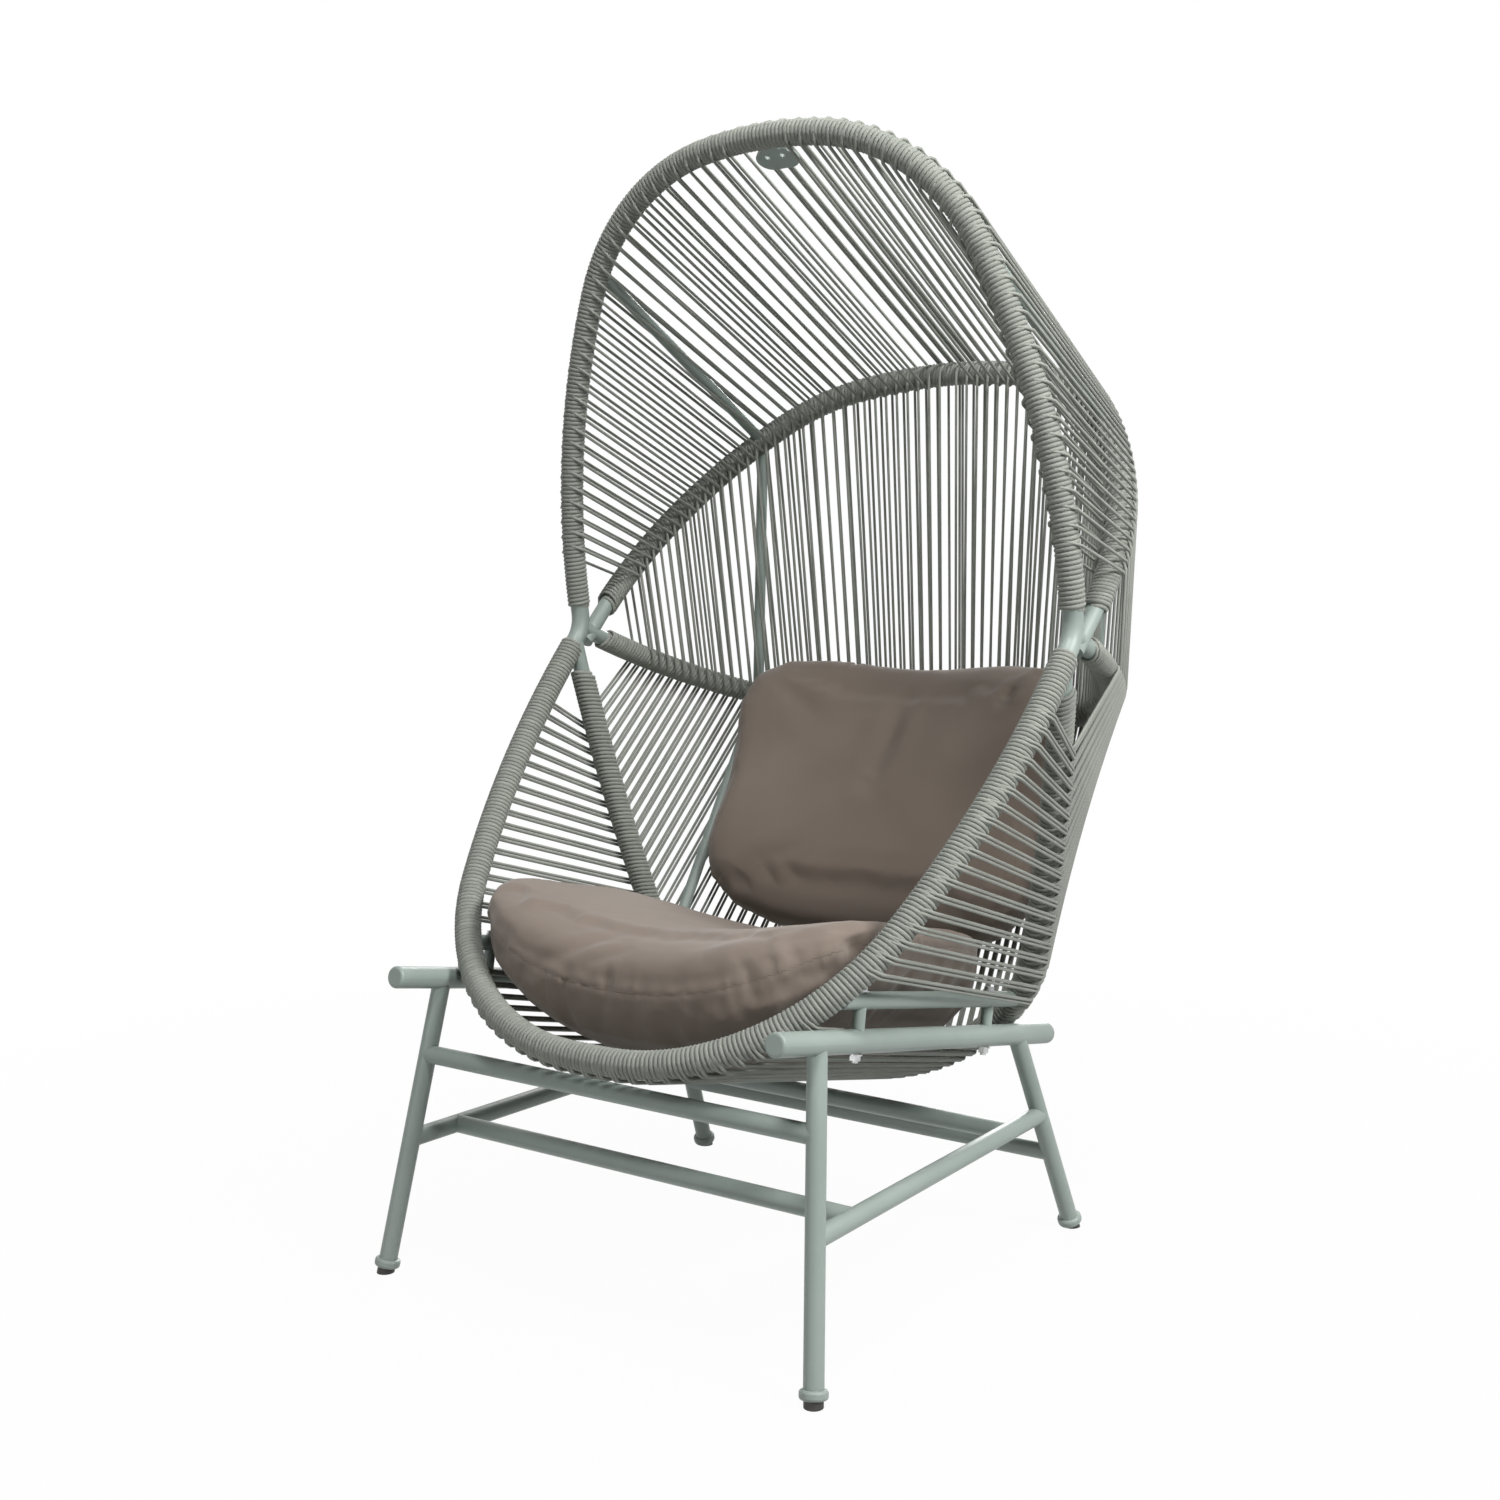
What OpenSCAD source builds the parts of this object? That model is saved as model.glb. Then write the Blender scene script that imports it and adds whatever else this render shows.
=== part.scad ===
// Cocoon lounge chair: a rope-wound pod bolted on a four-legged tube base, with two loose cushions.
// The front of the chair faces -Y, +Z is up, and the floor is at z = 0.

/* [Base rails] */
// Outer diameter of the two top rails
rail_d = 30; // [26:0.5:34]
// Length of a rail without its caps
rail_len = 687; // [660:1:720]
// Distance of each rail from the middle of the chair
rail_x = 310; // [300:1:316]
// Depth position of a rail's front end
rail_front_y = -486; // [-496:1:-476]
// Height of a rail's axis at its front end
rail_front_z = 420; // [417:0.5:423]
// Fall of the rails towards the back, in degrees
rail_fall = 10.6; // [10:0.1:11]
// Wall of every rail, leg, bar and rib tube
tube_wall = 2; // [1.5:0.1:3]
// Hairline left at every butt or coped tube joint
joint_gap = 0.04; // [0.03:0.01:0.1]
// Length of the round end caps
cap_len = 5; // [3:0.5:9]

/* [Legs and bars] */
// Outer diameter of the legs
leg_d = 25; // [20:0.5:28]
// Outer diameter of the crossbars and stretchers
bar_d = 25; // [18:0.5:26]
// Place of the front legs along the rails, from the front end
front_leg_at = 85; // [70:1:120]
// Place of the rear legs along the rails, from the front end
rear_leg_at = 597; // [570:1:620]
// Front feet, sideways from the middle of the chair
front_foot_x = 355; // [340:1:370]
// Front feet, depth position
front_foot_y = -478; // [-490:1:-450]
// Rear feet, sideways from the middle of the chair
rear_foot_x = 338; // [325:1:355]
// Rear feet, depth position
rear_foot_y = 229; // [200:1:250]
// Height of the upper bar between the front legs
front_bar_z = 300; // [250:1:301]
// Height of the bar between the rear legs
rear_bar_z = 123; // [100:1:145]
// Height of the side stretchers
stretcher_z = 184; // [172:1:185]
// Depth position of the front bar between the stretchers
low_front_bar_y = -358; // [-390:1:-320]
// Depth position of the rear bar between the stretchers
low_rear_bar_y = 55; // [30:1:70]
// Diameter of the collar at the end of each leg
collar_d = 35; // [31:0.5:42]
// Height of that collar
collar_h = 12; // [9:0.5:18]
// Diameter of the black glide under each leg
glide_d = 24; // [20:0.5:28]
// Height of the glide that shows below the collar
glide_h = 8; // [5:0.5:14]
// Length of the glide's plug inside the leg
plug_len = 22; // [12:1:40]

/* [Bolted joint between base and pod] */
// Distance of the pod's runners above the rails
runner_rise = 50; // [46:0.5:56]
// Outer diameter of the runners
runner_d = 22; // [18:0.5:25]
// Place of the front bolts along the rails, from the front end
front_bolt_at = 173; // [150:1:200]
// Place of the rear bolts along the rails, from the front end
rear_bolt_at = 504; // [480:1:530]
// Outer diameter of the spacer posts
post_d = 16; // [13:0.5:20]
// Diameter of the bolts
bolt_d = 8; // [5:0.5:9]
// Diameter of the bolt heads
bolt_head_d = 14; // [12:0.5:16]
// Height of the bolt heads
bolt_head_h = 4; // [2.5:0.5:7]
// Diameter of the washers
washer_d = 17; // [15:0.5:20]
// Thickness of the washers
washer_t = 1.6; // [1:0.1:2.5]
// Width across the flats of the nuts
nut_af = 13; // [11:0.5:15]
// Height of the nuts
nut_h = 6.5; // [4:0.5:9]
// Length of bolt that shows under each nut
bolt_tail = 3; // [1:0.5:6]
// Clearance of the bolts in their holes
bolt_gap = 0.2; // [0.1:0.05:0.5]

/* [Knees of the pod] */
// Half of the pod's width between the knee points
knee_x = 425; // [420:1:430]
// Depth position of the knee points
knee_y = 30; // [26:1:34]
// Height of the knee points
knee_z = 873; // [870:1:876]
// Outer diameter of the front hoop's tube
hoop_d = 28; // [25:0.5:30]
// Outer diameter of the tubes of the three back ribs
rib_d = 25; // [22:0.5:28]
// Length of an elbow on each side of its knee point
elbow_leg = 25; // [22:1:28]
// Straight length of the lower back rib from its end point
waist_root = 44; // [42:1:49]
// Straight length of the bottom rib from its end point
keel_root = 54; // [52:1:60]
// Bare tube between a knee point and the windings of the front hoop
hoop_bare = 34; // [31:1:44]
// Bare tube between the ends of the upper and lower back ribs and their windings
back_bare = 50; // [46:1:60]
// Bare tube between the ends of the bottom rib and its winding
keel_bare = 72; // [66:1:84]

/* [Upper half of the front hoop] */
// Tilt of its plane from level at the back, in degrees
arch_tilt = 99; // [97:0.5:101]
// Height of the crown over the knees, in its plane
arch_h = 685; // [670:1:700]
// Radius of its sides
arch_side_r = 1112; // [1000:10:1300]
// Radius of its shoulders
arch_shoulder_r = 300; // [270:5:330]
// Radius of its crown
arch_crown_r = 662; // [600:5:720]
// Outward splay of its ends, in degrees
arch_splay = 1.1; // [0.4:0.1:1.8]
// Diameter over its rope winding
arch_wrap_d = 36; // [35:0.5:38]

/* [Lower half of the front hoop] */
// Tilt of its plane from level at the back, in degrees
mouth_tilt = 227.4; // [226.5:0.1:228.5]
// Reach of its lowest point from the knees, in its plane
mouth_h = 712; // [706:1:716]
// Radius of its sides
mouth_side_r = 1488; // [1400:10:1700]
// Radius of its shoulders
mouth_shoulder_r = 345; // [335:5:355]
// Radius of its lowest stretch
mouth_crown_r = 1878; // [1500:2:2200]
// Outward splay of its ends, in degrees
mouth_splay = -0.1; // [-0.5:0.1:0.3]
// Diameter over its rope winding
mouth_wrap_d = 38; // [36:0.5:39]

/* [Upper back rib] */
// Distance of its ends behind the knee points
crest_back = 25; // [22:1:28]
// Length of its straight roots past those ends, towards the front
crest_root = 29; // [26:1:32]
// Tilt of its plane from level at the back, in degrees
crest_tilt = 44.8; // [43.5:0.1:46]
// Height of its crown in its plane
crest_h = 575; // [565:1:585]
// Radius of its sides
crest_side_r = 692; // [660:2:740]
// Radius of its shoulders
crest_shoulder_r = 245; // [230:5:260]
// Radius of its crown
crest_crown_r = 605; // [560:5:650]
// Outward splay of its ends, in degrees
crest_splay = 2.1; // [1.4:0.1:2.8]
// Diameter over its rope winding
crest_wrap_d = 38; // [34:0.5:38]

/* [Lower back rib] */
// Tilt of its plane from level at the back, in degrees
waist_tilt = -20.3; // [-21:0.1:-19.5]
// Depth of its crown in its plane
waist_h = 470; // [466:1:476]
// Radius of its sides
waist_side_r = 527; // [510:1:550]
// Radius of its shoulders
waist_shoulder_r = 399; // [390:5:410]
// Radius of its crown
waist_crown_r = 513; // [490:1:540]
// Outward splay of its ends, in degrees
waist_splay = -2.5; // [-3.1:0.1:-1.9]
// Diameter over its rope winding
waist_wrap_d = 36; // [34:0.5:37]

/* [Bottom rib] */
// Distance of its ends in front of the knee points
keel_front = 25; // [23:1:27]
// Tilt of its plane from level at the back, in degrees
keel_tilt = -79.1; // [-79.4:0.1:-78.7]
// Depth of its lowest point in its plane
keel_h = 666; // [662:1:670]
// Radius of its sides
keel_side_r = 3110; // [3000:10:3300]
// Radius of its shoulders
keel_shoulder_r = 207; // [203:1:211]
// Radius of its lowest stretch
keel_crown_r = 401; // [395:1:407]
// Outward splay of its ends, in degrees
keel_splay = -7.2; // [-7.4:0.1:-7]
// Diameter over its rope winding
keel_wrap_d = 38; // [35:0.5:39]

/* [Struts and hanger] */
// Outer diameter of the struts between the ribs
strut_d = 18; // [14:0.5:21]
// Width of the hanger plate under the hood
hanger_w = 66; // [60:1:76]
// Depth of the hanger plate
hanger_depth = 38; // [32:1:44]
// Thickness of the hanger plate
hanger_t = 5; // [3:0.5:8]
// Diameter of the two hanger holes
hanger_hole_d = 9; // [6:0.5:11]
// Distance between the two hanger holes
hanger_hole_pitch = 25; // [20:1:30]

/* [Rope] */
// Diameter of the rope
rope_d = 4.75; // [3:0.25:4.75]
// Pairs of strands in each panel
pairs = 70; // [56:2:74]
// Gap between the two strands of a pair
pair_gap = 0.6; // [0.5:0.1:1.2]
// Gap between a strand and the winding it lies on
rope_gap = 0.3; // [0.2:0.05:0.5]
// Stretch beside each knee that holds no strands
knee_clear = 84; // [80:1:110]
// Length by which a strand stops short of its tangent point
strand_short = 1; // [0.5:0.25:4]
// Shift of the inner strands towards the middle, by which those of two panels pass each other
inner_slip = 1.8; // [0.8:0.1:2]

/* [Seat cushion] */
// Width of the seat cushion
seat_w = 664; // [630:1:670]
// Depth of the seat cushion
seat_depth = 540; // [500:1:545]
// Depth position of its middle
seat_y = -151; // [-153:1:-141]
// Height of its middle over the strands
seat_t = 200; // [160:1:215]
// Rise of its two ends over its middle
seat_curl = 84; // [40:1:90]
// Height of the lowest part of its underside over the strands
seat_lift = 13; // [13:1:40]

/* [Back cushion] */
// Width of the back cushion
back_w = 610; // [540:1:612]
// Height of the back cushion along its face
back_h = 456; // [410:1:458]
// Thickness at its middle
back_t = 140; // [110:1:150]
// Recline of the back cushion, in degrees
back_recline = 23; // [21:0.5:25]
// Depth position of its middle
back_y = 300; // [290:1:300]
// Height of its middle
back_z = 604; // [604:1:620]
// Forward bend of its two sides
back_bend = 66; // [66:1:84]

/* [Cushion make-up] */
// Thickness of the fabric covers
cover_t = 2; // [1:0.1:4]
// Gap between a cover and its filling
fill_gap = 0.4; // [0.2:0.1:1]
// Share by which the sides of a cushion pull in between its corners
side_draw = 0.05; // [0:0.01:0.07]

/* [Hidden] */
$fn = 48;
SAGE = [0.62, 0.69, 0.65];
ROPE = [0.50, 0.53, 0.50];
TAUPE = [0.52, 0.47, 0.42];
STEEL = [0.75, 0.76, 0.77];
BLACK = [0.06, 0.06, 0.06];
LEFT = -1;
RIGHT = 1;
knee = [knee_x, knee_y, knee_z];
// More than the length of anything here, for cutting blocks
far = 2000;
// Length by which a cutting cylinder runs past what it cuts
past = 1;
rope_r = rope_d / 2;
// A point well inside the pod, which tells the outer side of a rib from its inner side
pod_middle_back = 150;
pod_middle_down = 40;
pod_middle = [0, knee_y + pod_middle_back, knee_z - pod_middle_down];

// A rib is a list: end point, tilt, height, side, shoulder and crown radius, splay, straight root
ARCH = [knee, arch_tilt, arch_h, arch_side_r, arch_shoulder_r, arch_crown_r, arch_splay, elbow_leg];
MOUTH = [
    knee,
    mouth_tilt, mouth_h, mouth_side_r, mouth_shoulder_r, mouth_crown_r, mouth_splay, elbow_leg
];
CREST = [
    knee + [0, crest_back, 0],
    crest_tilt, crest_h, crest_side_r, crest_shoulder_r, crest_crown_r, crest_splay, crest_back
];
WAIST = [
    knee,
    waist_tilt, waist_h, waist_side_r, waist_shoulder_r, waist_crown_r, waist_splay, waist_root
];
KEEL = [
    knee - [0, keel_front, 0],
    keel_tilt, keel_h, keel_side_r, keel_shoulder_r, keel_crown_r, keel_splay, keel_root
];

// Small vector helpers
function unit(v) = v / norm(v);
function flip(v) = [-v[0], v[1], v[2]];
function polar(r, a) = [r * cos(a), r * sin(a)];

// Plane outline of a rib: straight end, side arc, shoulder arc, crown arc, all tangent
function end_dir(rib) = [sin(rib[6]), cos(rib[6])];
function arc_start(rib) = [rib[0][0], 0] + rib[7] * end_dir(rib);
function side_c(rib) = arc_start(rib) + rib[3] * [-end_dir(rib)[1], end_dir(rib)[0]];
function crown_c(rib) = [0, rib[2] - rib[5]];
function shoulder_c(rib) = circle_meet(side_c(rib), rib[3] - rib[4], crown_c(rib), rib[5] - rib[4]);
function circle_meet(p, rp, q, rq) =
    let (d = norm(q - p), u = (q - p) / d, x = (d * d + rp * rp - rq * rq) / (2 * d))
    let (y = sqrt(rp * rp - x * x))
    p + x * u + y * [-u[1], u[0]];
function dir_angle(v) = atan2(v[1], v[0]);
function side_a0(rib) = -rib[6];
function side_a1(rib) = dir_angle(shoulder_c(rib) - side_c(rib));
function crown_a0(rib) = dir_angle(shoulder_c(rib) - crown_c(rib));
function side_len(rib) = rib[3] * (side_a1(rib) - side_a0(rib)) * PI / 180;
function shoulder_len(rib) = rib[4] * (crown_a0(rib) - side_a1(rib)) * PI / 180;
function crown_len(rib) = rib[5] * (90 - crown_a0(rib)) * PI / 180;
function half_len(rib) = side_len(rib) + shoulder_len(rib) + crown_len(rib);

// Angle and centre of the outline at a distance t from its crown
function turn_at(rib, t) =
    t < crown_len(rib) ? 90 - t / rib[5] * 180 / PI
    : t < crown_len(rib) + shoulder_len(rib) ? crown_a0(rib) - (t - crown_len(rib)) / rib[4] * 180 / PI
    : side_a1(rib) - (t - crown_len(rib) - shoulder_len(rib)) / rib[3] * 180 / PI;
function outline_at(rib, t) =
    let (a = turn_at(rib, t))
    t < crown_len(rib) ? crown_c(rib) + polar(rib[5], a)
    : t < crown_len(rib) + shoulder_len(rib) ? shoulder_c(rib) + polar(rib[4], a)
    : side_c(rib) + polar(rib[3], a);
function to_space(rib, p) =
    [p[0], rib[0][1] + p[1] * cos(rib[1]), rib[0][2] + p[1] * sin(rib[1])];
function swing(rib, p) = [p[0], p[1] * cos(rib[1]), p[1] * sin(rib[1])];

// Point and direction on a rib at a signed distance t from its crown, right side positive
function rib_point(rib, t) =
    t < 0 ? flip(rib_point(rib, -t)) : to_space(rib, outline_at(rib, t));
function rib_dir(rib, t) =
    t < 0 ? -flip(rib_dir(rib, -t))
    : let (a = turn_at(rib, t)) swing(rib, [sin(a), -cos(a)]);

// Distance from the crown at which a rib is x away from the middle
function reach_at_x(rib, x) =
    let (c = acos(x / rib[5]))
    let (a = acos((x - shoulder_c(rib)[0]) / rib[4]), b = acos((x - side_c(rib)[0]) / rib[3]))
    c > crown_a0(rib) ? rib[5] * (90 - c) * PI / 180
    : a > side_a1(rib) ? crown_len(rib) + rib[4] * (crown_a0(rib) - a) * PI / 180
    : half_len(rib) - rib[3] * (b - side_a0(rib)) * PI / 180;
function point_at_x(rib, x) = rib_point(rib, reach_at_x(rib, x));
function at_rail_x(rib) = point_at_x(rib, rail_x);

// Places a child that lies along +Z between two points
module along(p, q) {
    d = q - p;
    b = acos(d[2] / norm(d));
    c = atan2(d[1], d[0]);
    translate(p) rotate([0, b, c]) children();
}

module rod(p, q, d) {
    along(p, q) cylinder(d = d, h = norm(q - p));
}

module pipe(p, q, d) {
    along(p, q) difference() {
        cylinder(d = d, h = norm(q - p));
        translate([0, 0, -past]) cylinder(d = d - 2 * tube_wall, h = norm(q - p) + 2 * past);
    }
}

// One arc of a ring with the given outer and inner diameters, a hairline short at both ends
module ring_arc(c, r, a0, a1, d, bore) {
    trim = joint_gap / 2 / r * 180 / PI;
    translate([c[0], c[1], 0]) rotate([0, 0, a0 + trim]) rotate_extrude(angle = a1 - a0 - 2 * trim, $fn = 96)
        translate([r, 0]) difference() {
            circle(d = d);
            if (bore > 0) circle(d = bore);
        }
}

module to_side(side) {
    if (side == RIGHT) children();
    else mirror([1, 0, 0]) children();
}

module in_plane(rib) {
    translate([0, rib[0][1], rib[0][2]]) rotate([rib[1], 0, 0]) children();
}

// Side and shoulder arcs of a rib, from the given length past its root
module rib_flank(rib, d, bore, from = 0) {
    ring_arc(side_c(rib), rib[3], side_a0(rib) + from / rib[3] * 180 / PI, side_a1(rib), d, bore);
    ring_arc(shoulder_c(rib), rib[4], side_a1(rib), crown_a0(rib), d, bore);
}

module rib_crown(rib, d, bore) {
    ring_arc(crown_c(rib), rib[5], crown_a0(rib), 180 - crown_a0(rib), d, bore);
}

// The curved tube of a rib, from knee to knee
module rib_tube(rib, d) {
    bore = d - 2 * tube_wall;
    in_plane(rib) {
        for (side = [LEFT, RIGHT]) to_side(side) rib_flank(rib, d, bore);
        rib_crown(rib, d, bore);
    }
}

// What a tube is coped with where it meets the flank or the crown of a rib
module flank_cope(rib, d, side) {
    in_plane(rib) to_side(side) rib_flank(rib, d + 2 * joint_gap, 0);
}

module crown_cope(rib, d) {
    in_plane(rib) rib_crown(rib, d + 2 * joint_gap, 0);
}

// Straight root of a rib, from its arcs towards the knee and past its end point
function root_top(rib) = to_space(rib, arc_start(rib));
function root_dir(rib) = swing(rib, end_dir(rib));

module root_rod(rib, past, d) {
    rod(root_top(rib) - joint_gap / 2 * root_dir(rib), rib[0] - past * root_dir(rib), d);
}

// Frame of a rail: +Y runs back along its axis and +Z points up from it
module on_rail(side, s, rise = 0) {
    translate([side * rail_x, rail_front_y, rail_front_z]) rotate([-rail_fall, 0, 0])
        translate([0, s, rise]) children();
}

function rail_point(side, s, rise = 0) =
    [
        side * rail_x,
        rail_front_y + s * cos(rail_fall) + rise * sin(rail_fall),
        rail_front_z - s * sin(rail_fall) + rise * cos(rail_fall)
    ];

module lengthwise(d, len) {
    rotate([-90, 0, 0]) cylinder(d = d, h = len);
}

module bolt_holes() {
    for (s = [front_bolt_at, rear_bolt_at])
        translate([0, s, -rail_d]) cylinder(d = bolt_d + 2 * bolt_gap, h = runner_rise + 3 * rail_d);
}

// Straight rim of an end cap, below its rounding
cap_rim = 1;

// Base
module rail(side) {
    color(SAGE) on_rail(side, 0) difference() {
        lengthwise(rail_d, rail_len);
        translate([0, -past, 0]) lengthwise(rail_d - 2 * tube_wall, rail_len + 2 * past);
        bolt_holes();
    }
}

module rail_end_caps() {
    plug_d = rail_d - 2 * tube_wall - 2 * joint_gap;
    rounding = cap_len - cap_rim;
    color(SAGE) for (side = [LEFT, RIGHT], end = [0, 1])
        on_rail(side, end * rail_len) rotate([end == 0 ? 90 : -90, 0, 0]) {
            translate([0, 0, joint_gap]) rotate_extrude() {
                square([rail_d / 2 - rounding, cap_len]);
                square([rail_d / 2, cap_len - rounding]);
                translate([rail_d / 2 - rounding, cap_len - rounding]) intersection() {
                    circle(r = rounding);
                    square(rounding);
                }
            }
            translate([0, 0, -2 * cap_len]) cylinder(d = plug_d, h = 2 * cap_len + 2 * joint_gap);
        }
}

function leg_top(side, front) = rail_point(side, front ? front_leg_at : rear_leg_at);
function leg_foot(side, front) =
    front ? [side * front_foot_x, front_foot_y, 0] : [side * rear_foot_x, rear_foot_y, 0];
function leg_dir(side, front) = unit(leg_top(side, front) - leg_foot(side, front));
function leg_at_z(side, front, z) =
    leg_foot(side, front) + leg_dir(side, front) * z / leg_dir(side, front)[2];
function leg_end(side, front) = leg_foot(side, front) + glide_h * leg_dir(side, front);

module leg(side, front) {
    color(SAGE) difference() {
        pipe(leg_end(side, front), leg_top(side, front), leg_d);
        on_rail(side, 0) lengthwise(rail_d + 2 * joint_gap, rail_len);
    }
}

// What a bar is coped with where it meets a leg
module leg_cope(side, front) {
    rod(leg_end(side, front), leg_top(side, front), leg_d + 2 * joint_gap);
}

module foot_collars() {
    rounding = collar_h / 3;
    color(SAGE) for (side = [LEFT, RIGHT], front = [false, true])
        along(leg_end(side, front), leg_top(side, front)) rotate_extrude() difference() {
            union() {
                translate([0, rounding]) square([collar_d / 2, collar_h - 2 * rounding]);
                square([collar_d / 2 - rounding, collar_h]);
                for (y = [rounding, collar_h - rounding])
                    translate([collar_d / 2 - rounding, y]) circle(r = rounding);
            }
            translate([-past, -past]) square([leg_d / 2 + joint_gap + past, collar_h + 2 * past]);
        }
}

// The glides are turned on their axes, so that no seam meets the long axis of the floor cut
module foot_glides() {
    color(BLACK) for (side = [LEFT, RIGHT], front = [false, true]) difference() {
        along(leg_end(side, front), leg_top(side, front)) rotate(45) {
            translate([0, 0, -3 * glide_h]) cylinder(d = glide_d, h = 3 * glide_h - joint_gap);
            translate([0, 0, -glide_h / 2])
                cylinder(d = leg_d - 2 * tube_wall - 2 * joint_gap, h = plug_len + glide_h / 2);
        }
        translate(leg_foot(side, front) - [glide_d, glide_d, 4 * glide_h])
            cube([2 * glide_d, 2 * glide_d, 4 * glide_h]);
    }
}

module leg_bar(front, z) {
    color(SAGE) difference() {
        pipe(leg_at_z(LEFT, front, z), leg_at_z(RIGHT, front, z), bar_d);
        for (side = [LEFT, RIGHT]) leg_cope(side, front);
    }
}

function stretcher_end(side, front) = leg_at_z(side, front, stretcher_z);
function on_stretcher(side, y) =
    let (a = stretcher_end(side, true), b = stretcher_end(side, false))
    a + (b - a) * (y - a[1]) / (b[1] - a[1]);

module stretcher(side) {
    color(SAGE) difference() {
        pipe(stretcher_end(side, true), stretcher_end(side, false), bar_d);
        for (front = [false, true]) leg_cope(side, front);
    }
}

module low_bar(y) {
    color(SAGE) difference() {
        pipe(on_stretcher(LEFT, y), on_stretcher(RIGHT, y), bar_d);
        for (side = [LEFT, RIGHT])
            rod(stretcher_end(side, true), stretcher_end(side, false), bar_d + 2 * joint_gap);
    }
}

// Bolted joint
module each_bolt() {
    for (side = [LEFT, RIGHT], s = [front_bolt_at, rear_bolt_at]) on_rail(side, s) children();
}

module mounting_posts() {
    color(SAGE) each_bolt() difference() {
        cylinder(d = post_d, h = runner_rise);
        translate([0, 0, -past]) cylinder(d = bolt_d + 2 * bolt_gap, h = runner_rise + 2 * past);
        translate([0, -rail_d, 0]) lengthwise(rail_d + 2 * joint_gap, 2 * rail_d);
        translate([0, -rail_d, runner_rise]) lengthwise(runner_d + 2 * joint_gap, 2 * rail_d);
    }
}

// Heights over a rail's axis: top face of the upper washers and lower face of the lower ones
bolt_top = runner_rise + runner_d / 2 + washer_t + joint_gap;
nut_top = -rail_d / 2 - washer_t - joint_gap;

module mounting_bolts() {
    bolt_end = nut_top - nut_h - bolt_tail;
    color(STEEL) each_bolt() {
        translate([0, 0, bolt_end]) cylinder(d = bolt_d, h = bolt_top + bolt_head_h - bolt_end);
        translate([0, 0, bolt_top + joint_gap]) cylinder(d = bolt_head_d, h = bolt_head_h);
    }
}

module mounting_washers() {
    color(STEEL) each_bolt() for (z = [bolt_top - washer_t, nut_top])
        translate([0, 0, z]) difference() {
            cylinder(d = washer_d, h = washer_t);
            translate([0, 0, -past]) cylinder(d = bolt_d + 2 * bolt_gap, h = washer_t + 2 * past);
        }
}

module mounting_nuts() {
    color(STEEL) each_bolt() translate([0, 0, nut_top - joint_gap - nut_h]) difference() {
        cylinder(d = nut_af / cos(30), h = nut_h, $fn = 6);
        translate([0, 0, -past]) cylinder(d = bolt_d + 2 * joint_gap, h = nut_h + 2 * past);
    }
}

function runner_s(p) = (p[1] - rail_front_y - runner_rise * sin(rail_fall)) / cos(rail_fall);
runner_start = runner_s(at_rail_x(MOUTH));
runner_end = runner_s(at_rail_x(KEEL));

module runner_rod(side, d) {
    on_rail(side, runner_start, runner_rise) lengthwise(d, runner_end - runner_start);
}

module runner(side) {
    color(SAGE) difference() {
        runner_rod(side, runner_d);
        on_rail(side, runner_start - past, runner_rise)
            lengthwise(runner_d - 2 * tube_wall, runner_end - runner_start + 2 * past);
        on_rail(side, 0) bolt_holes();
        flank_cope(MOUTH, hoop_d, side);
        flank_cope(KEEL, rib_d, side);
    }
}

// Pod frame
elbow_in = -root_dir(ARCH);
elbow_out = root_dir(MOUTH);
elbow_turn = acos(elbow_in * elbow_out);
elbow_r = elbow_leg / tan(elbow_turn / 2);
elbow_normal = unit(cross(elbow_in, elbow_out));
elbow_c = root_top(ARCH) + elbow_r * cross(elbow_normal, elbow_in);
elbow_x = unit(root_top(ARCH) - elbow_c);
elbow_y = cross(elbow_normal, elbow_x);
elbow_place = [
    [elbow_x[0], elbow_y[0], elbow_normal[0], elbow_c[0]],
    [elbow_x[1], elbow_y[1], elbow_normal[1], elbow_c[1]],
    [elbow_x[2], elbow_y[2], elbow_normal[2], elbow_c[2]],
    [0, 0, 0, 1]
];
// How far the bend of an elbow lies in front of its knee point
elbow_sag = elbow_r * (1 / cos(elbow_turn / 2) - 1);
// Length from the bottom rib's end point down to the axis of the hoop
keel_start = keel_front * sin(mouth_tilt) / sin(mouth_tilt - keel_tilt);

module knee_elbow(side) {
    color(SAGE) to_side(side) multmatrix(elbow_place)
        ring_arc([0, 0], elbow_r, 0, elbow_turn, hoop_d, hoop_d - 2 * tube_wall);
}

// What the roots are coped with at a knee, bridging the seams beside the elbow
module elbow_cope() {
    bridge = 2; // degrees
    multmatrix(elbow_place)
        ring_arc([0, 0], elbow_r, -bridge, elbow_turn + bridge, hoop_d + 4 * joint_gap, 0);
}

// What the root of the bottom rib is coped with: the side of the hoop, run on past its seam
module hoop_cope() {
    run_on = 1; // degrees
    in_plane(MOUTH) ring_arc(
        side_c(MOUTH), mouth_side_r, side_a0(MOUTH) - run_on, side_a0(MOUTH) + 2 * run_on,
        hoop_d + 2 * joint_gap, 0
    );
}

module front_hoop_upper() {
    color(SAGE) rib_tube(ARCH, hoop_d);
}

module front_hoop_lower() {
    color(SAGE) rib_tube(MOUTH, hoop_d);
}

module crest_root_rod(grow = 0) {
    root_rod(CREST, crest_root, rib_d + grow);
}

module keel_root_rod(grow = 0) {
    root_rod(KEEL, -keel_start, rib_d + grow);
}

module upper_back_rib() {
    color(SAGE) rib_tube(CREST, rib_d);
    color(SAGE) for (side = [LEFT, RIGHT]) to_side(side) difference() {
        crest_root_rod();
        elbow_cope();
    }
}

module lower_back_rib() {
    color(SAGE) rib_tube(WAIST, rib_d);
    color(SAGE) for (side = [LEFT, RIGHT]) to_side(side) difference() {
        root_rod(WAIST, elbow_sag, rib_d);
        elbow_cope();
        crest_root_rod(2 * joint_gap);
    }
}

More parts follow.
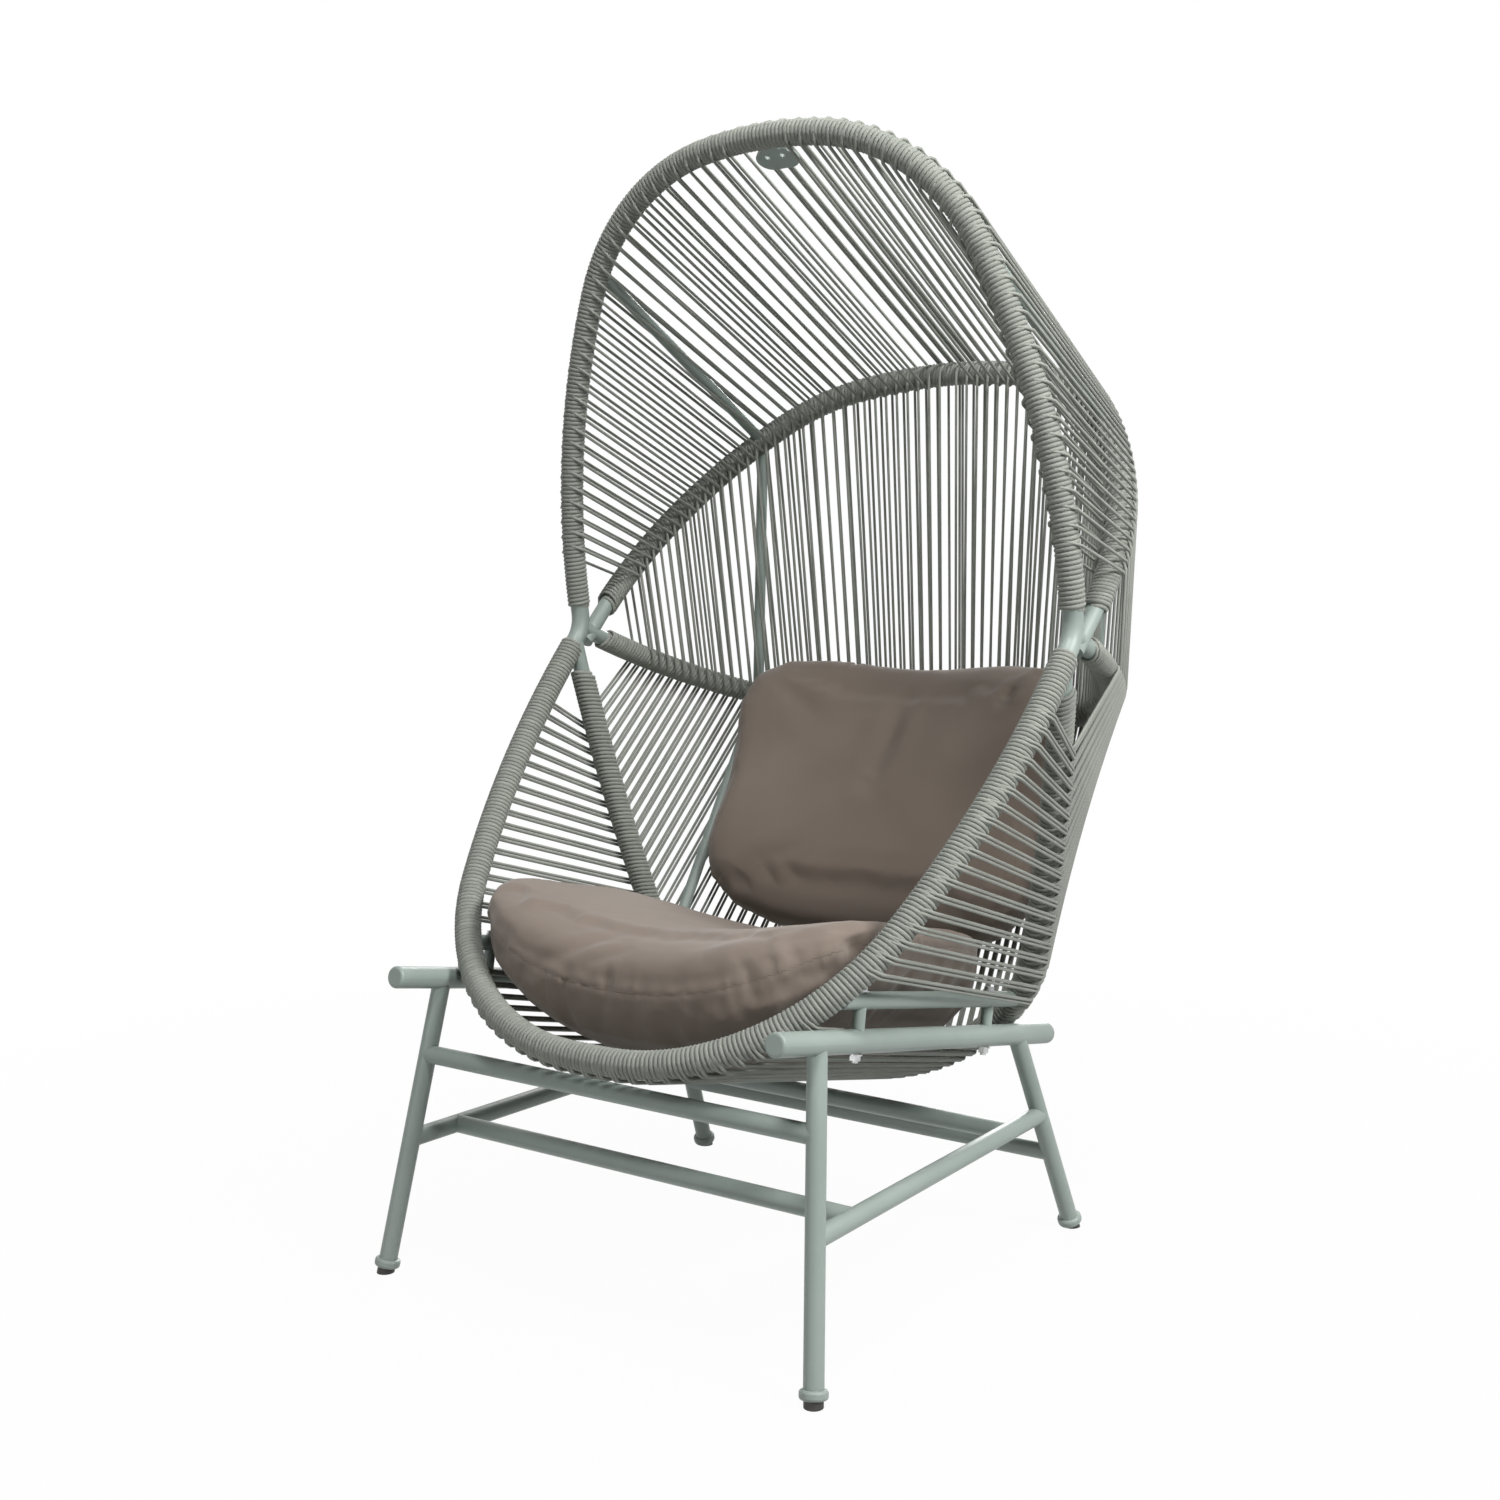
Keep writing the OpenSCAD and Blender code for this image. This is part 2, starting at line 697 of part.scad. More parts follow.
module bottom_rib() {
    color(SAGE) rib_tube(KEEL, rib_d);
    color(SAGE) for (side = [LEFT, RIGHT]) to_side(side) difference() {
        keel_root_rod();
        hoop_cope();
    }
}

// A strut joins two ribs at the distance of the rails from the middle
module strut_rod(side, rib_a, rib_b, d) {
    to_side(side) rod(at_rail_x(rib_a), at_rail_x(rib_b), d);
}

module strut(side, rib_a, d_a, rib_b, d_b) {
    p = at_rail_x(rib_a);
    q = at_rail_x(rib_b);
    color(SAGE) difference() {
        to_side(side) pipe(p, q, strut_d);
        flank_cope(rib_a, d_a, side);
        flank_cope(rib_b, d_b, side);
    }
}

arch_top = rib_point(ARCH, 0);
hood_dir = unit(rib_point(CREST, 0) - arch_top);
hood_fall = atan2(-hood_dir[2], hood_dir[1]);
// Middle of the plate behind the hoop's axis, and its holes behind that middle
hanger_from_hoop = hoop_d / 2 + hanger_depth / 2;
hanger_hole_back = hoop_d / 4;

// Flat shape of the hanger plate, with its root buried in the hoop's tube
module hanger_shape(grow = 0) {
    corner = hanger_depth / 2;
    translate([0, 0, -hanger_t / 2 - grow]) linear_extrude(hanger_t + 2 * grow) {
        square([hanger_w - 2 * corner + 2 * grow, hanger_depth + hoop_d + 2 * grow], center = true);
        for (x = [-1, 1]) translate([x * (hanger_w / 2 - corner), hoop_d / 2])
            circle(r = corner + grow);
    }
}

module on_hood() {
    translate(arch_top) rotate([-hood_fall, 0, 0])
        translate([0, hanger_from_hoop, 0]) children();
}

module hanger_holes() {
    on_hood() for (x = [-1, 1])
        translate([x * hanger_hole_pitch / 2, hanger_hole_back, -hanger_t])
            cylinder(d = hanger_hole_d, h = 2 * hanger_t);
}

// All that lies on the front side of the hoop's axis
module before_hoop() {
    on_hood() translate([-hanger_w, -hanger_from_hoop - 2 * hoop_d, -hoop_d])
        cube([2 * hanger_w, 2 * hoop_d, 2 * hoop_d]);
}

module hanger_plate() {
    color(SAGE) difference() {
        on_hood() hanger_shape();
        hanger_holes();
        crown_cope(ARCH, hoop_d);
        before_hoop();
    }
}

// Rope windings, plain sleeves over the tubes
module rib_wrap(rib, wrap_d, tube_d, bare) {
    bore = tube_d + 2 * joint_gap;
    color(ROPE) in_plane(rib) {
        for (side = [LEFT, RIGHT]) to_side(side) rib_flank(rib, wrap_d, bore, bare - rib[7]);
        rib_crown(rib, wrap_d, bore);
    }
}

module strut_path(rib_a, rib_b) {
    for (side = [LEFT, RIGHT]) strut_rod(side, rib_a, rib_b, strut_d + 2 * rope_gap);
}

module runner_path() {
    for (side = [LEFT, RIGHT]) runner_rod(side, runner_d + 2 * rope_gap);
}

module wrap_hoop_upper() {
    difference() {
        rib_wrap(ARCH, arch_wrap_d, hoop_d, hoop_bare);
        strut_path(ARCH, CREST);
        on_hood() hanger_shape(rope_gap);
    }
}

module wrap_hoop_lower() {
    difference() {
        rib_wrap(MOUTH, mouth_wrap_d, hoop_d, hoop_bare);
        runner_path();
        for (side = [LEFT, RIGHT]) to_side(side) keel_root_rod(2 * rope_gap);
    }
}

module wrap_upper_back() {
    difference() {
        rib_wrap(CREST, crest_wrap_d, rib_d, back_bare);
        strut_path(ARCH, CREST);
        strut_path(CREST, WAIST);
    }
}

module wrap_lower_back() {
    difference() {
        rib_wrap(WAIST, waist_wrap_d, rib_d, back_bare);
        strut_path(CREST, WAIST);
        strut_path(WAIST, KEEL);
    }
}

module wrap_bottom() {
    difference() {
        rib_wrap(KEEL, keel_wrap_d, rib_d, keel_bare);
        strut_path(WAIST, KEEL);
        runner_path();
    }
}

// Strands lie on the outer or the inner side of the two windings that they join
OUTER = 1;
INNER = -1;
function out_of(v, p) = v * (p - pod_middle) < 0 ? -v : v;
function on_wrap(rib, t, wrap_d, toward, face) =
    let (p = rib_point(rib, t))
    let (reach = wrap_d / 2 + rope_r + (face == OUTER ? 1 : 2) * rope_gap)
    p + face * reach * out_of(unit(cross(rib_dir(rib, t), toward)), p);
function slant(rib, t, toward) = norm(cross(rib_dir(rib, t), unit(toward)));
function pair_shift(rib, t, toward) = (rope_d + pair_gap) / 2 / slant(rib, t, toward);

module strand(rib_a, ta, wrap_a, rib_b, tb, wrap_b, face) {
    toward = rib_point(rib_b, tb) - rib_point(rib_a, ta);
    p = on_wrap(rib_a, ta, wrap_a, toward, face);
    q = on_wrap(rib_b, tb, wrap_b, toward, face);
    u = unit(q - p);
    rod(p + strand_short * u, q - strand_short * u, rope_d);
}

// Distance from the posts at which the strands under the runners pass them
post_room = post_d / 2 + pair_gap + 1.5 * rope_d;
function x_at_y(p, q, y) = p[0] + (q[0] - p[0]) * (y - p[1]) / (q[1] - p[1]);
function meets_post(p, q) =
    let (ys = [for (s = [front_bolt_at, rear_bolt_at]) rail_point(RIGHT, s, runner_rise)[1]])
    min([for (y = ys) abs(abs(x_at_y(p, q, y)) - rail_x)]) < post_room;

// The pairs of neighbouring panels take turns along the rib between them: odd and even places.
// Further from the middle than two_sided, one strand of each pair lies on the inner side.
module panel(rib_a, wrap_a, rib_b, wrap_b, even = false, round_posts = false, two_sided = 1e6) {
    for (place = [even ? 2 : 1 : 2 : 2 * pairs - 1]) {
        share = place / pairs - 1;
        ta = share * (half_len(rib_a) - knee_clear);
        tb = share * (half_len(rib_b) - knee_clear);
        toward = rib_point(rib_b, tb) - rib_point(rib_a, ta);
        sa = pair_shift(rib_a, ta, toward);
        sb = pair_shift(rib_b, tb, toward);
        p = on_wrap(rib_a, ta, wrap_a, toward, OUTER);
        q = on_wrap(rib_b, tb, wrap_b, toward, OUTER);
        if (!(round_posts && meets_post(p, q))) for (k = [-1, 1]) {
            face = -k * ta > two_sided ? INNER : OUTER;
            slip = face == INNER ? inner_slip * sign(ta) : 0;
            strand(rib_a, ta + k * sa - slip, wrap_a, rib_b, tb + k * sb, wrap_b, face);
        }
    }
}

// All strands over the hanger plate pass above it, so that its holes stay free from below
module hood_strands() {
    color(ROPE) panel(ARCH, arch_wrap_d, CREST, crest_wrap_d, two_sided = hanger_w / 2 + rope_d);
}

module back_strands() {
    color(ROPE) panel(CREST, crest_wrap_d, WAIST, waist_wrap_d, even = true, two_sided = 0);
}

module low_back_strands() {
    color(ROPE) panel(WAIST, waist_wrap_d, KEEL, keel_wrap_d);
}

module seat_strands() {
    color(ROPE) panel(MOUTH, mouth_wrap_d, KEEL, keel_wrap_d, even = true, round_posts = true);
}

// Bowl that the seat cushion lies in: the surface between the hoop and the bottom rib
strand_drop = mouth_wrap_d / 2 + rope_gap;
function bowl_z(x, y) =
    let (a = point_at_x(MOUTH, abs(x)), b = point_at_x(KEEL, abs(x)))
    a[2] + (b[2] - a[2]) * (y - a[1]) / (b[1] - a[1]) - strand_drop;

// A cushion is rings of points from the middle of its top over its edge to the middle below
cushion_turns = 36;
cushion_rings = 12;
// Half of the least thickness of the seat cushion, near its edge
seat_edge_t = 6;
// Exponents of the cushions: squareness of the outline, roundness of the edge, flatness of the faces
seat_square = 3;
seat_edge = 0.6;
seat_crown = 0.7;
back_square = 4.5;
back_edge = 0.55;
back_crown = 0.75;
// Radius of a rounded square with its sides drawn in between the corners
function squircle(a, n) =
    (1 - side_draw * pow(cos(2 * a), 2)) / pow(pow(abs(cos(a)), n) + pow(abs(sin(a)), n), 1 / n);
function soften(v, n) = sign(v) * pow(abs(v), n);
function ring_r(k) = sin(180 * k / cushion_rings);
function ring_lift(k) = cos(180 * k / cushion_rings);

function seat_point(k, a, inset) =
    let (w = seat_w / 2 - inset, h = seat_depth / 2 - inset)
    let (r = soften(ring_r(k), seat_edge) * squircle(a, seat_square))
    let (x = w * r * cos(a), y = seat_y + h * r * sin(a))
    let (low = bowl_z(x, y) + seat_lift)
    let (high = bowl_z(0, y) + seat_t + seat_curl * pow(2 * x / seat_w, 2))
    let (middle = (low + high) / 2, half = max(seat_edge_t, (high - low) / 2) - inset)
    [x, y, middle + soften(ring_lift(k), seat_crown) * half];

function back_point(k, a, inset) =
    let (w = back_w / 2 - inset, h = back_h / 2 - inset, t = back_t / 2 - inset)
    let (r = soften(ring_r(k), back_edge) * squircle(a, back_square))
    let (x = w * r * cos(a), v = h * r * sin(a))
    let (f = -soften(ring_lift(k), back_crown) * t - back_bend * pow(2 * x / back_w, 2))
    [
        x,
        back_y + v * sin(back_recline) + f * cos(back_recline),
        back_z + v * cos(back_recline) - f * sin(back_recline)
    ];

function cushion_point(kind, k, a, inset) =
    kind == "seat" ? seat_point(k, a, inset) : back_point(k, a, inset);

module cushion_solid(kind, inset) {
    rings = [for (k = [1 : cushion_rings - 1], j = [0 : cushion_turns - 1])
        cushion_point(kind, k, j * 360 / cushion_turns, inset)];
    top = len(rings);
    points = concat(rings, [
        cushion_point(kind, 0, 0, inset),
        cushion_point(kind, cushion_rings, 0, inset)
    ]);
    function at(k, j) = k * cushion_turns + j % cushion_turns;
    last = cushion_rings - 2;
    faces = concat(
        [for (j = [0 : cushion_turns - 1]) [top, at(0, j + 1), at(0, j)]],
        [for (k = [0 : last - 1], j = [0 : cushion_turns - 1])
            [at(k, j), at(k, j + 1), at(k + 1, j)]],
        [for (k = [0 : last - 1], j = [0 : cushion_turns - 1])
            [at(k, j + 1), at(k + 1, j + 1), at(k + 1, j)]],
        [for (j = [0 : cushion_turns - 1]) [top + 1, at(last, j), at(last, j + 1)]]
    );
    polyhedron(points, faces);
}

module cushion_cover(kind) {
    color(TAUPE) difference() {
        cushion_solid(kind, 0);
        cushion_solid(kind, cover_t);
    }
}

module cushion_fill(kind) {
    color("white") cushion_solid(kind, cover_t + fill_gap);
}

rail(LEFT);  // rail_left
rail(RIGHT);  // rail_right
rail_end_caps();
leg(LEFT, true);  // front_leg_left
leg(RIGHT, true);  // front_leg_right
leg(LEFT, false);  // rear_leg_left
leg(RIGHT, false);  // rear_leg_right
foot_collars();
foot_glides();
leg_bar(true, front_bar_z);  // front_upper_crossbar
low_bar(low_front_bar_y);  // front_lower_crossbar
low_bar(low_rear_bar_y);  // rear_lower_crossbar
leg_bar(false, rear_bar_z);  // rear_crossbar
stretcher(LEFT);  // side_stretcher_left
stretcher(RIGHT);  // side_stretcher_right
mounting_posts();
mounting_bolts();
mounting_washers();
mounting_nuts();
runner(LEFT);  // runner_left
runner(RIGHT);  // runner_right
front_hoop_upper();
front_hoop_lower();
knee_elbow(LEFT);  // knee_elbow_left
knee_elbow(RIGHT);  // knee_elbow_right
upper_back_rib();
lower_back_rib();
bottom_rib();
strut(LEFT, ARCH, hoop_d, CREST, rib_d);  // hood_strut_left
strut(RIGHT, ARCH, hoop_d, CREST, rib_d);  // hood_strut_right
strut(LEFT, CREST, rib_d, WAIST, rib_d);  // back_strut_left
strut(RIGHT, CREST, rib_d, WAIST, rib_d);  // back_strut_right
strut(LEFT, WAIST, rib_d, KEEL, rib_d);  // low_strut_left
strut(RIGHT, WAIST, rib_d, KEEL, rib_d);  // low_strut_right
hanger_plate();
wrap_hoop_upper();
wrap_hoop_lower();
wrap_upper_back();
wrap_lower_back();
wrap_bottom();
hood_strands();
back_strands();
low_back_strands();
seat_strands();
cushion_cover("seat");  // seat_cushion_cover
cushion_fill("seat");  // seat_cushion_fill
cushion_cover("back");  // back_cushion_cover
cushion_fill("back");  // back_cushion_fill
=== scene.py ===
"""Looks of a rope-wound cocoon lounge chair, built round its CAD frame. Lengths are in metres."""

import math

import bmesh
import bpy
from mathutils import Matrix, Vector, noise
from mathutils.bvhtree import BVHTree
from mathutils.geometry import intersect_point_line
from mathutils.kdtree import KDTree


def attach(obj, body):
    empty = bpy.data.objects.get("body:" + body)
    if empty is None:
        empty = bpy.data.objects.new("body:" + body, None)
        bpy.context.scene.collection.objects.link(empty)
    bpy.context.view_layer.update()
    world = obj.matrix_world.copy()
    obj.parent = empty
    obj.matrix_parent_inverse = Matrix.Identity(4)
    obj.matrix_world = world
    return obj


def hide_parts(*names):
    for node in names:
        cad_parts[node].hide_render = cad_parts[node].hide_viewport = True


MM = 0.001
BODY = "frame"

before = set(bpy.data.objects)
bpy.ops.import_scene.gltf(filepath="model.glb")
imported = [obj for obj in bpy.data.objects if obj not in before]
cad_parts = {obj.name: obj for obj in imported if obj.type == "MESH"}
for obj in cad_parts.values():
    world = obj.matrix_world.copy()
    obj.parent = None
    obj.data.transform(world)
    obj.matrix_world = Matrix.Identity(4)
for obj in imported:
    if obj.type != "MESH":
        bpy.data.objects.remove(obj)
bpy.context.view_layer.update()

# Shared sizes of the pod, as its CAD source gives them, in millimetres

# Where all the ribs meet on the right side
KNEE = (425, 30, 873)
# A point inside the pod, from which the outer side of each rib is told
POD_MIDDLE = Vector((0, 180, 833)) * MM
# Tubes of the front hoop and of the ribs behind it
HOOP_D = 28
RIB_D = 25
# Rope, and its gap to what it lies against
ROPE_D = 4.75
ROPE_GAP = 0.3
# Places for pairs along each half of a rib, the gap in a pair, and the bare length at each knee
PAIRS = 70
PAIR_GAP = 0.6
KNEE_CLEAR = 84
# Shift of the inner strands towards the middle
INNER_SLIP = 1.8
HANGER_W = 66

# The photograph's camera, in metres, radians and pixels
CAMERA_PLACE = Vector((1.4752, -2.1483, 0.950))
CAMERA_AHEAD = Vector((-0.58302, 0.80700, -0.09403)).normalized()
CAMERA_RIGHT = CAMERA_AHEAD.cross(Vector((0, 0, 1))).normalized()
CAMERA_UP = CAMERA_RIGHT.cross(CAMERA_AHEAD)
CAMERA_ROLL = -0.004
FOCAL_PIXELS = 1815.6
PHOTO_PIXELS = 1500
SENSOR_MM = 36


# Node trees

class Net:
    """A node tree that is being built: it adds nodes, fills their inputs and links them."""

    def __init__(self, tree):
        self.tree = tree

    def node(self, kind, inputs=None, **settings):
        """A new node with its settings made and its inputs filled."""
        made = self.tree.nodes.new(kind)
        for name, value in settings.items():
            setattr(made, name, value)
        for key, value in (inputs or {}).items():
            self.fill(made.inputs[key], value)
        return made

    def fill(self, socket, value):
        """Links an input to a node or a socket, or sets it to a plain value."""
        if isinstance(value, bpy.types.Node):
            value = value.outputs[0]
        if isinstance(value, bpy.types.NodeSocket):
            self.tree.links.new(value, socket)
        else:
            socket.default_value = value

    def sum(self, operation, *values):
        """One step of arithmetic."""
        made = self.tree.nodes.new("ShaderNodeMath")
        made.operation = operation
        for socket, value in zip(made.inputs, values):
            self.fill(socket, value)
        return made.outputs[0]

    def vector(self, operation, *values):
        """One step of vector arithmetic."""
        made = self.tree.nodes.new("ShaderNodeVectorMath")
        made.operation = operation
        for socket, value in zip(made.inputs, values):
            self.fill(socket, value)
        return made.outputs[0]

    def scaled(self, vector, factor):
        """A vector times a number."""
        made = self.tree.nodes.new("ShaderNodeVectorMath")
        made.operation = "SCALE"
        self.fill(made.inputs[0], vector)
        self.fill(made.inputs["Scale"], factor)
        return made.outputs[0]


def tree_with(name, kind, inputs, outputs):
    """A node group with named sockets. Inputs are (name, type, value) and outputs (name, type)."""
    tree = bpy.data.node_groups.new(name, kind)
    for label, socket, value in inputs:
        made = tree.interface.new_socket(label, in_out="INPUT", socket_type="NodeSocket" + socket)
        if value is not None:
            made.default_value = value
    for label, socket in outputs:
        tree.interface.new_socket(label, in_out="OUTPUT", socket_type="NodeSocket" + socket)
    net = Net(tree)
    return net, net.node("NodeGroupInput").outputs, net.node("NodeGroupOutput").inputs


def store(net, geometry, name, value, kind="FLOAT"):
    """Keeps a value on the points of a geometry under a name that materials can read."""
    made = net.node("GeometryNodeStoreNamedAttribute", data_type=kind, domain="POINT")
    net.fill(made.inputs["Geometry"], geometry)
    net.fill(made.inputs["Name"], name)
    net.fill(made.inputs["Value"], value)
    return made.outputs[0]


def rope_profile(net, radius, sides, flatness=1.0):
    """Section of a rope, which knows how far round each of its points lies."""
    ring = net.node("GeometryNodeCurvePrimitiveCircle", {"Resolution": sides, "Radius": radius})
    wide = net.node("ShaderNodeCombineXYZ", {"X": 1.0, "Y": flatness, "Z": 1.0})
    ring = net.node("GeometryNodeTransform", {"Geometry": ring, "Scale": wide})
    turn = net.sum("DIVIDE", net.sum("MULTIPLY", net.node("GeometryNodeInputIndex"), math.tau), sides)
    around = net.node(
        "ShaderNodeCombineXYZ", {"X": net.sum("COSINE", turn), "Y": net.sum("SINE", turn)}
    )
    return store(net, ring, "rope_turn", around, "FLOAT_VECTOR")


def rope_swept(net, line, profile, material):
    """Sweeps the section along a line and ends the tree."""
    length = net.node("GeometryNodeSplineParameter").outputs["Length"]
    line = store(net, line, "rope_run", length)
    body = net.node(
        "GeometryNodeCurveToMesh", {"Curve": line, "Profile Curve": profile, "Fill Caps": True}
    )
    smooth = net.node("GeometryNodeSetShadeSmooth", {"Geometry": body, "Shade Smooth": True})
    real = net.node("GeometryNodeRealizeInstances", {"Geometry": smooth})
    return net.node("GeometryNodeSetMaterial", {"Geometry": real, "Material": material})


# How an uneven turn changes: steps of the noise for each turn, and its share along the tube
UNEVEN_RATE = 0.9
UNEVEN_CREEP = 1.4
# The two ends of a winding are tucked under it: how many of its radii the rope sinks, and how fast
TUCK_DEPTH = 2.2
TUCKS_PER_TURN = 2.0


def winding_tree():
    """A rope wound round a bent tube, from one end of the tube's axis to the other."""
    net, given, out = tree_with(
        "rope winding",
        "GeometryNodeTree",
        [
            ("Geometry", "Geometry", None),
            ("Plane Normal", "Vector", (0, 0, 1)),
            ("Winding Radius", "Float", 0.016),
            ("Rope Radius", "Float", 0.002),
            ("Turns", "Int", 100),
            ("Steps per Turn", "Int", 12),
            ("Sides", "Int", 8),
            ("Flatness", "Float", 1.3),
            ("Lean", "Float", 0.0),
            ("Unevenness", "Float", 0.0003),
            ("Seed", "Float", 0.0),
            ("Rope", "Material", None),
        ],
        [("Geometry", "Geometry")],
    )
    count = net.sum("ADD", net.sum("MULTIPLY", given["Turns"], given["Steps per Turn"]), 1)
    line = net.node("GeometryNodeResampleCurve", {"Curve": given["Geometry"], "Count": count})
    index = net.node("GeometryNodeInputIndex")
    phase = net.sum("DIVIDE", net.sum("MULTIPLY", index, math.tau), given["Steps per Turn"])
    tangent = net.node("GeometryNodeInputTangent")
    side = net.vector("CROSS_PRODUCT", tangent, given["Plane Normal"])
    turn = net.sum("ADD", net.sum("DIVIDE", index, given["Steps per Turn"]), given["Seed"])
    rough = net.node(
        "ShaderNodeTexNoise",
        {"W": turn, "Scale": UNEVEN_RATE, "Detail": 1.0},
        noise_dimensions="1D",
    )
    uneven = net.sum("MULTIPLY", net.sum("SUBTRACT", rough.outputs[0], 0.5), given["Unevenness"])
    share = net.node("GeometryNodeSplineParameter").outputs["Factor"]
    from_end = net.sum("MINIMUM", share, net.sum("SUBTRACT", 1.0, share))
    end_turns = net.sum("MULTIPLY", from_end, given["Turns"])
    tucked = net.sum("SUBTRACT", 1.0, net.sum("MULTIPLY", end_turns, TUCKS_PER_TURN))
    tuck = net.sum("MAXIMUM", tucked, 0.0)
    depth = net.sum("MULTIPLY", given["Rope Radius"], TUCK_DEPTH)
    reach = net.sum("ADD", given["Winding Radius"], uneven)
    reach = net.sum("SUBTRACT", reach, net.sum("MULTIPLY", tuck, depth))
    upward = net.sum("MULTIPLY", net.sum("COSINE", phase), reach)
    sideways = net.sum("MULTIPLY", net.sum("SINE", phase), reach)
    round_tube = net.vector(
        "ADD", net.scaled(given["Plane Normal"], upward), net.scaled(side, sideways)
    )
    lean = net.sum("MULTIPLY", upward, given["Lean"])
    creep = net.scaled(tangent, net.sum("MULTIPLY_ADD", uneven, UNEVEN_CREEP, lean))
    offset = net.vector("ADD", round_tube, creep)
    line = store(net, line, "rope_out", offset, "FLOAT_VECTOR")
    kept = net.node("GeometryNodeInputNamedAttribute", {"Name": "rope_out"}, data_type="FLOAT_VECTOR")
    wound = net.node("GeometryNodeSetPosition", {"Geometry": line, "Offset": kept})
    level = net.node("GeometryNodeSetCurveNormal", {"Curve": wound}, mode="FREE")
    net.fill(level.inputs["Normal"], kept)
    level = net.node("GeometryNodeRemoveAttribute", {"Geometry": level, "Name": "rope_out"})
    profile = rope_profile(net, given["Rope Radius"], given["Sides"], given["Flatness"])
    net.fill(out["Geometry"], rope_swept(net, level, profile, given["Rope"]))
    return net.tree


def strand_tree():
    """Taut strands of rope along lines that are already laid out."""
    net, given, out = tree_with(
        "taut strands",
        "GeometryNodeTree",
        [
            ("Geometry", "Geometry", None),
            ("Rope Radius", "Float", 0.002),
            ("Sides", "Int", 6),
            ("Rope", "Material", None),
        ],
        [("Geometry", "Geometry")],
    )
    profile = rope_profile(net, given["Rope Radius"], given["Sides"])
    net.fill(out["Geometry"], rope_swept(net, given["Geometry"], profile, given["Rope"]))
    return net.tree


def plain_mesh(obj):
    """The mesh that an object's modifiers make."""
    graph = bpy.context.evaluated_depsgraph_get()
    return bpy.data.meshes.new_from_object(
        obj.evaluated_get(graph), preserve_all_data_layers=True, depsgraph=graph
    )


def applied(obj):
    """Bakes an object's modifiers into its mesh."""
    mesh = plain_mesh(obj)
    obj.modifiers.clear()
    obj.data = mesh


def line_object(name, lines):
    """A curve object with one straight-sided spline for each list of points."""
    curve = bpy.data.curves.new(name, "CURVE")
    curve.dimensions = "3D"
    for points in lines:
        spline = curve.splines.new("POLY")
        spline.points.add(len(points) - 1)
        for place, point in zip(spline.points, points):
            place.co = (*point, 1)
    obj = bpy.data.objects.new(name, curve)
    bpy.context.scene.collection.objects.link(obj)
    return obj


def grown(name, lines, tree, values):
    """The plain mesh that a tree makes of some lines."""
    guide = line_object(name + "_lines", lines)
    modifier = guide.modifiers.new(tree.name, "NODES")
    modifier.node_group = tree
    for item in tree.interface.items_tree:
        if item.in_out == "INPUT" and item.name in values:
            modifier[item.identifier] = values[item.name]
    bpy.context.view_layer.update()
    mesh = plain_mesh(guide)
    mesh.name = name
    bpy.data.objects.remove(guide)
    made = bpy.data.objects.new(name, mesh)
    bpy.context.scene.collection.objects.link(made)
    return made


# Materials

def material(name):
    """An empty material with its output, and the net to fill it."""
    made = bpy.data.materials.new(name)
    made.use_nodes = True
    made.node_tree.nodes.clear()
    net = Net(made.node_tree)
    return made, net, net.node("ShaderNodeOutputMaterial")


def finish_material(net, output, **inputs):
    """Sets a Principled shader's sockets by name, with spaces for underscores."""
    shader = net.node("ShaderNodeBsdfPrincipled")
    for name, value in inputs.items():
        net.fill(shader.inputs[name.replace("_", " ")], value)
    net.fill(output.inputs["Surface"], shader)


def group_of(net, tree, **inputs):
    """Places a shared node group with its own values."""
    made = net.node("ShaderNodeGroup", node_tree=tree)
    for name, value in inputs.items():
        net.fill(made.inputs[name.replace("_", " ")], value)
    return made.outputs


def mixed(net, factor, first, second):
    """A colour between two colours."""
    made = net.node("ShaderNodeMix", data_type="RGBA")
    net.fill(made.inputs["Factor"], factor)
    net.fill(made.inputs[6], first)
    net.fill(made.inputs[7], second)
    return made.outputs[2]


def srgb(red, green, blue):
    """A colour as it is seen on screen, 0 to 255, as the linear colour that shaders take."""
    def linear(value):
        value = value / 255
        return value / 12.92 if value <= 0.04045 else ((value + 0.055) / 1.055) ** 2.4
    return (linear(red), linear(green), linear(blue), 1.0)


def object_place(net):
    """Place of the shaded point on its piece."""
    return net.node("ShaderNodeTexCoord").outputs["Object"]


def grain_group():
    """Soft shade variation and fine relief of a coated or moulded surface."""
    net, given, out = tree_with(
        "surface grain",
        "ShaderNodeTree",
        [
            ("Cloud Size", "Float", 0.12),
            ("Grain Size", "Float", 0.0012),
            ("Relief", "Float", 0.1),
        ],
        [("Clouds", "Float"), ("Grain", "Float"), ("Normal", "Vector")],
    )
    place = object_place(net)
    clouds = net.node(
        "ShaderNodeTexNoise",
        {"Vector": place, "Scale": net.sum("DIVIDE", 1.0, given["Cloud Size"]), "Detail": 4.0},
    )
    grain = net.node(
        "ShaderNodeTexNoise",
        {"Vector": place, "Scale": net.sum("DIVIDE", 1.0, given["Grain Size"]), "Detail": 2.0},
    )
    bump = net.node(
        "ShaderNodeBump", {"Strength": given["Relief"], "Distance": 0.0004, "Height": grain.outputs[0]}
    )
    net.fill(out["Clouds"], clouds.outputs[0])
    net.fill(out["Grain"], grain.outputs[0])
    net.fill(out["Normal"], bump)
    return net.tree


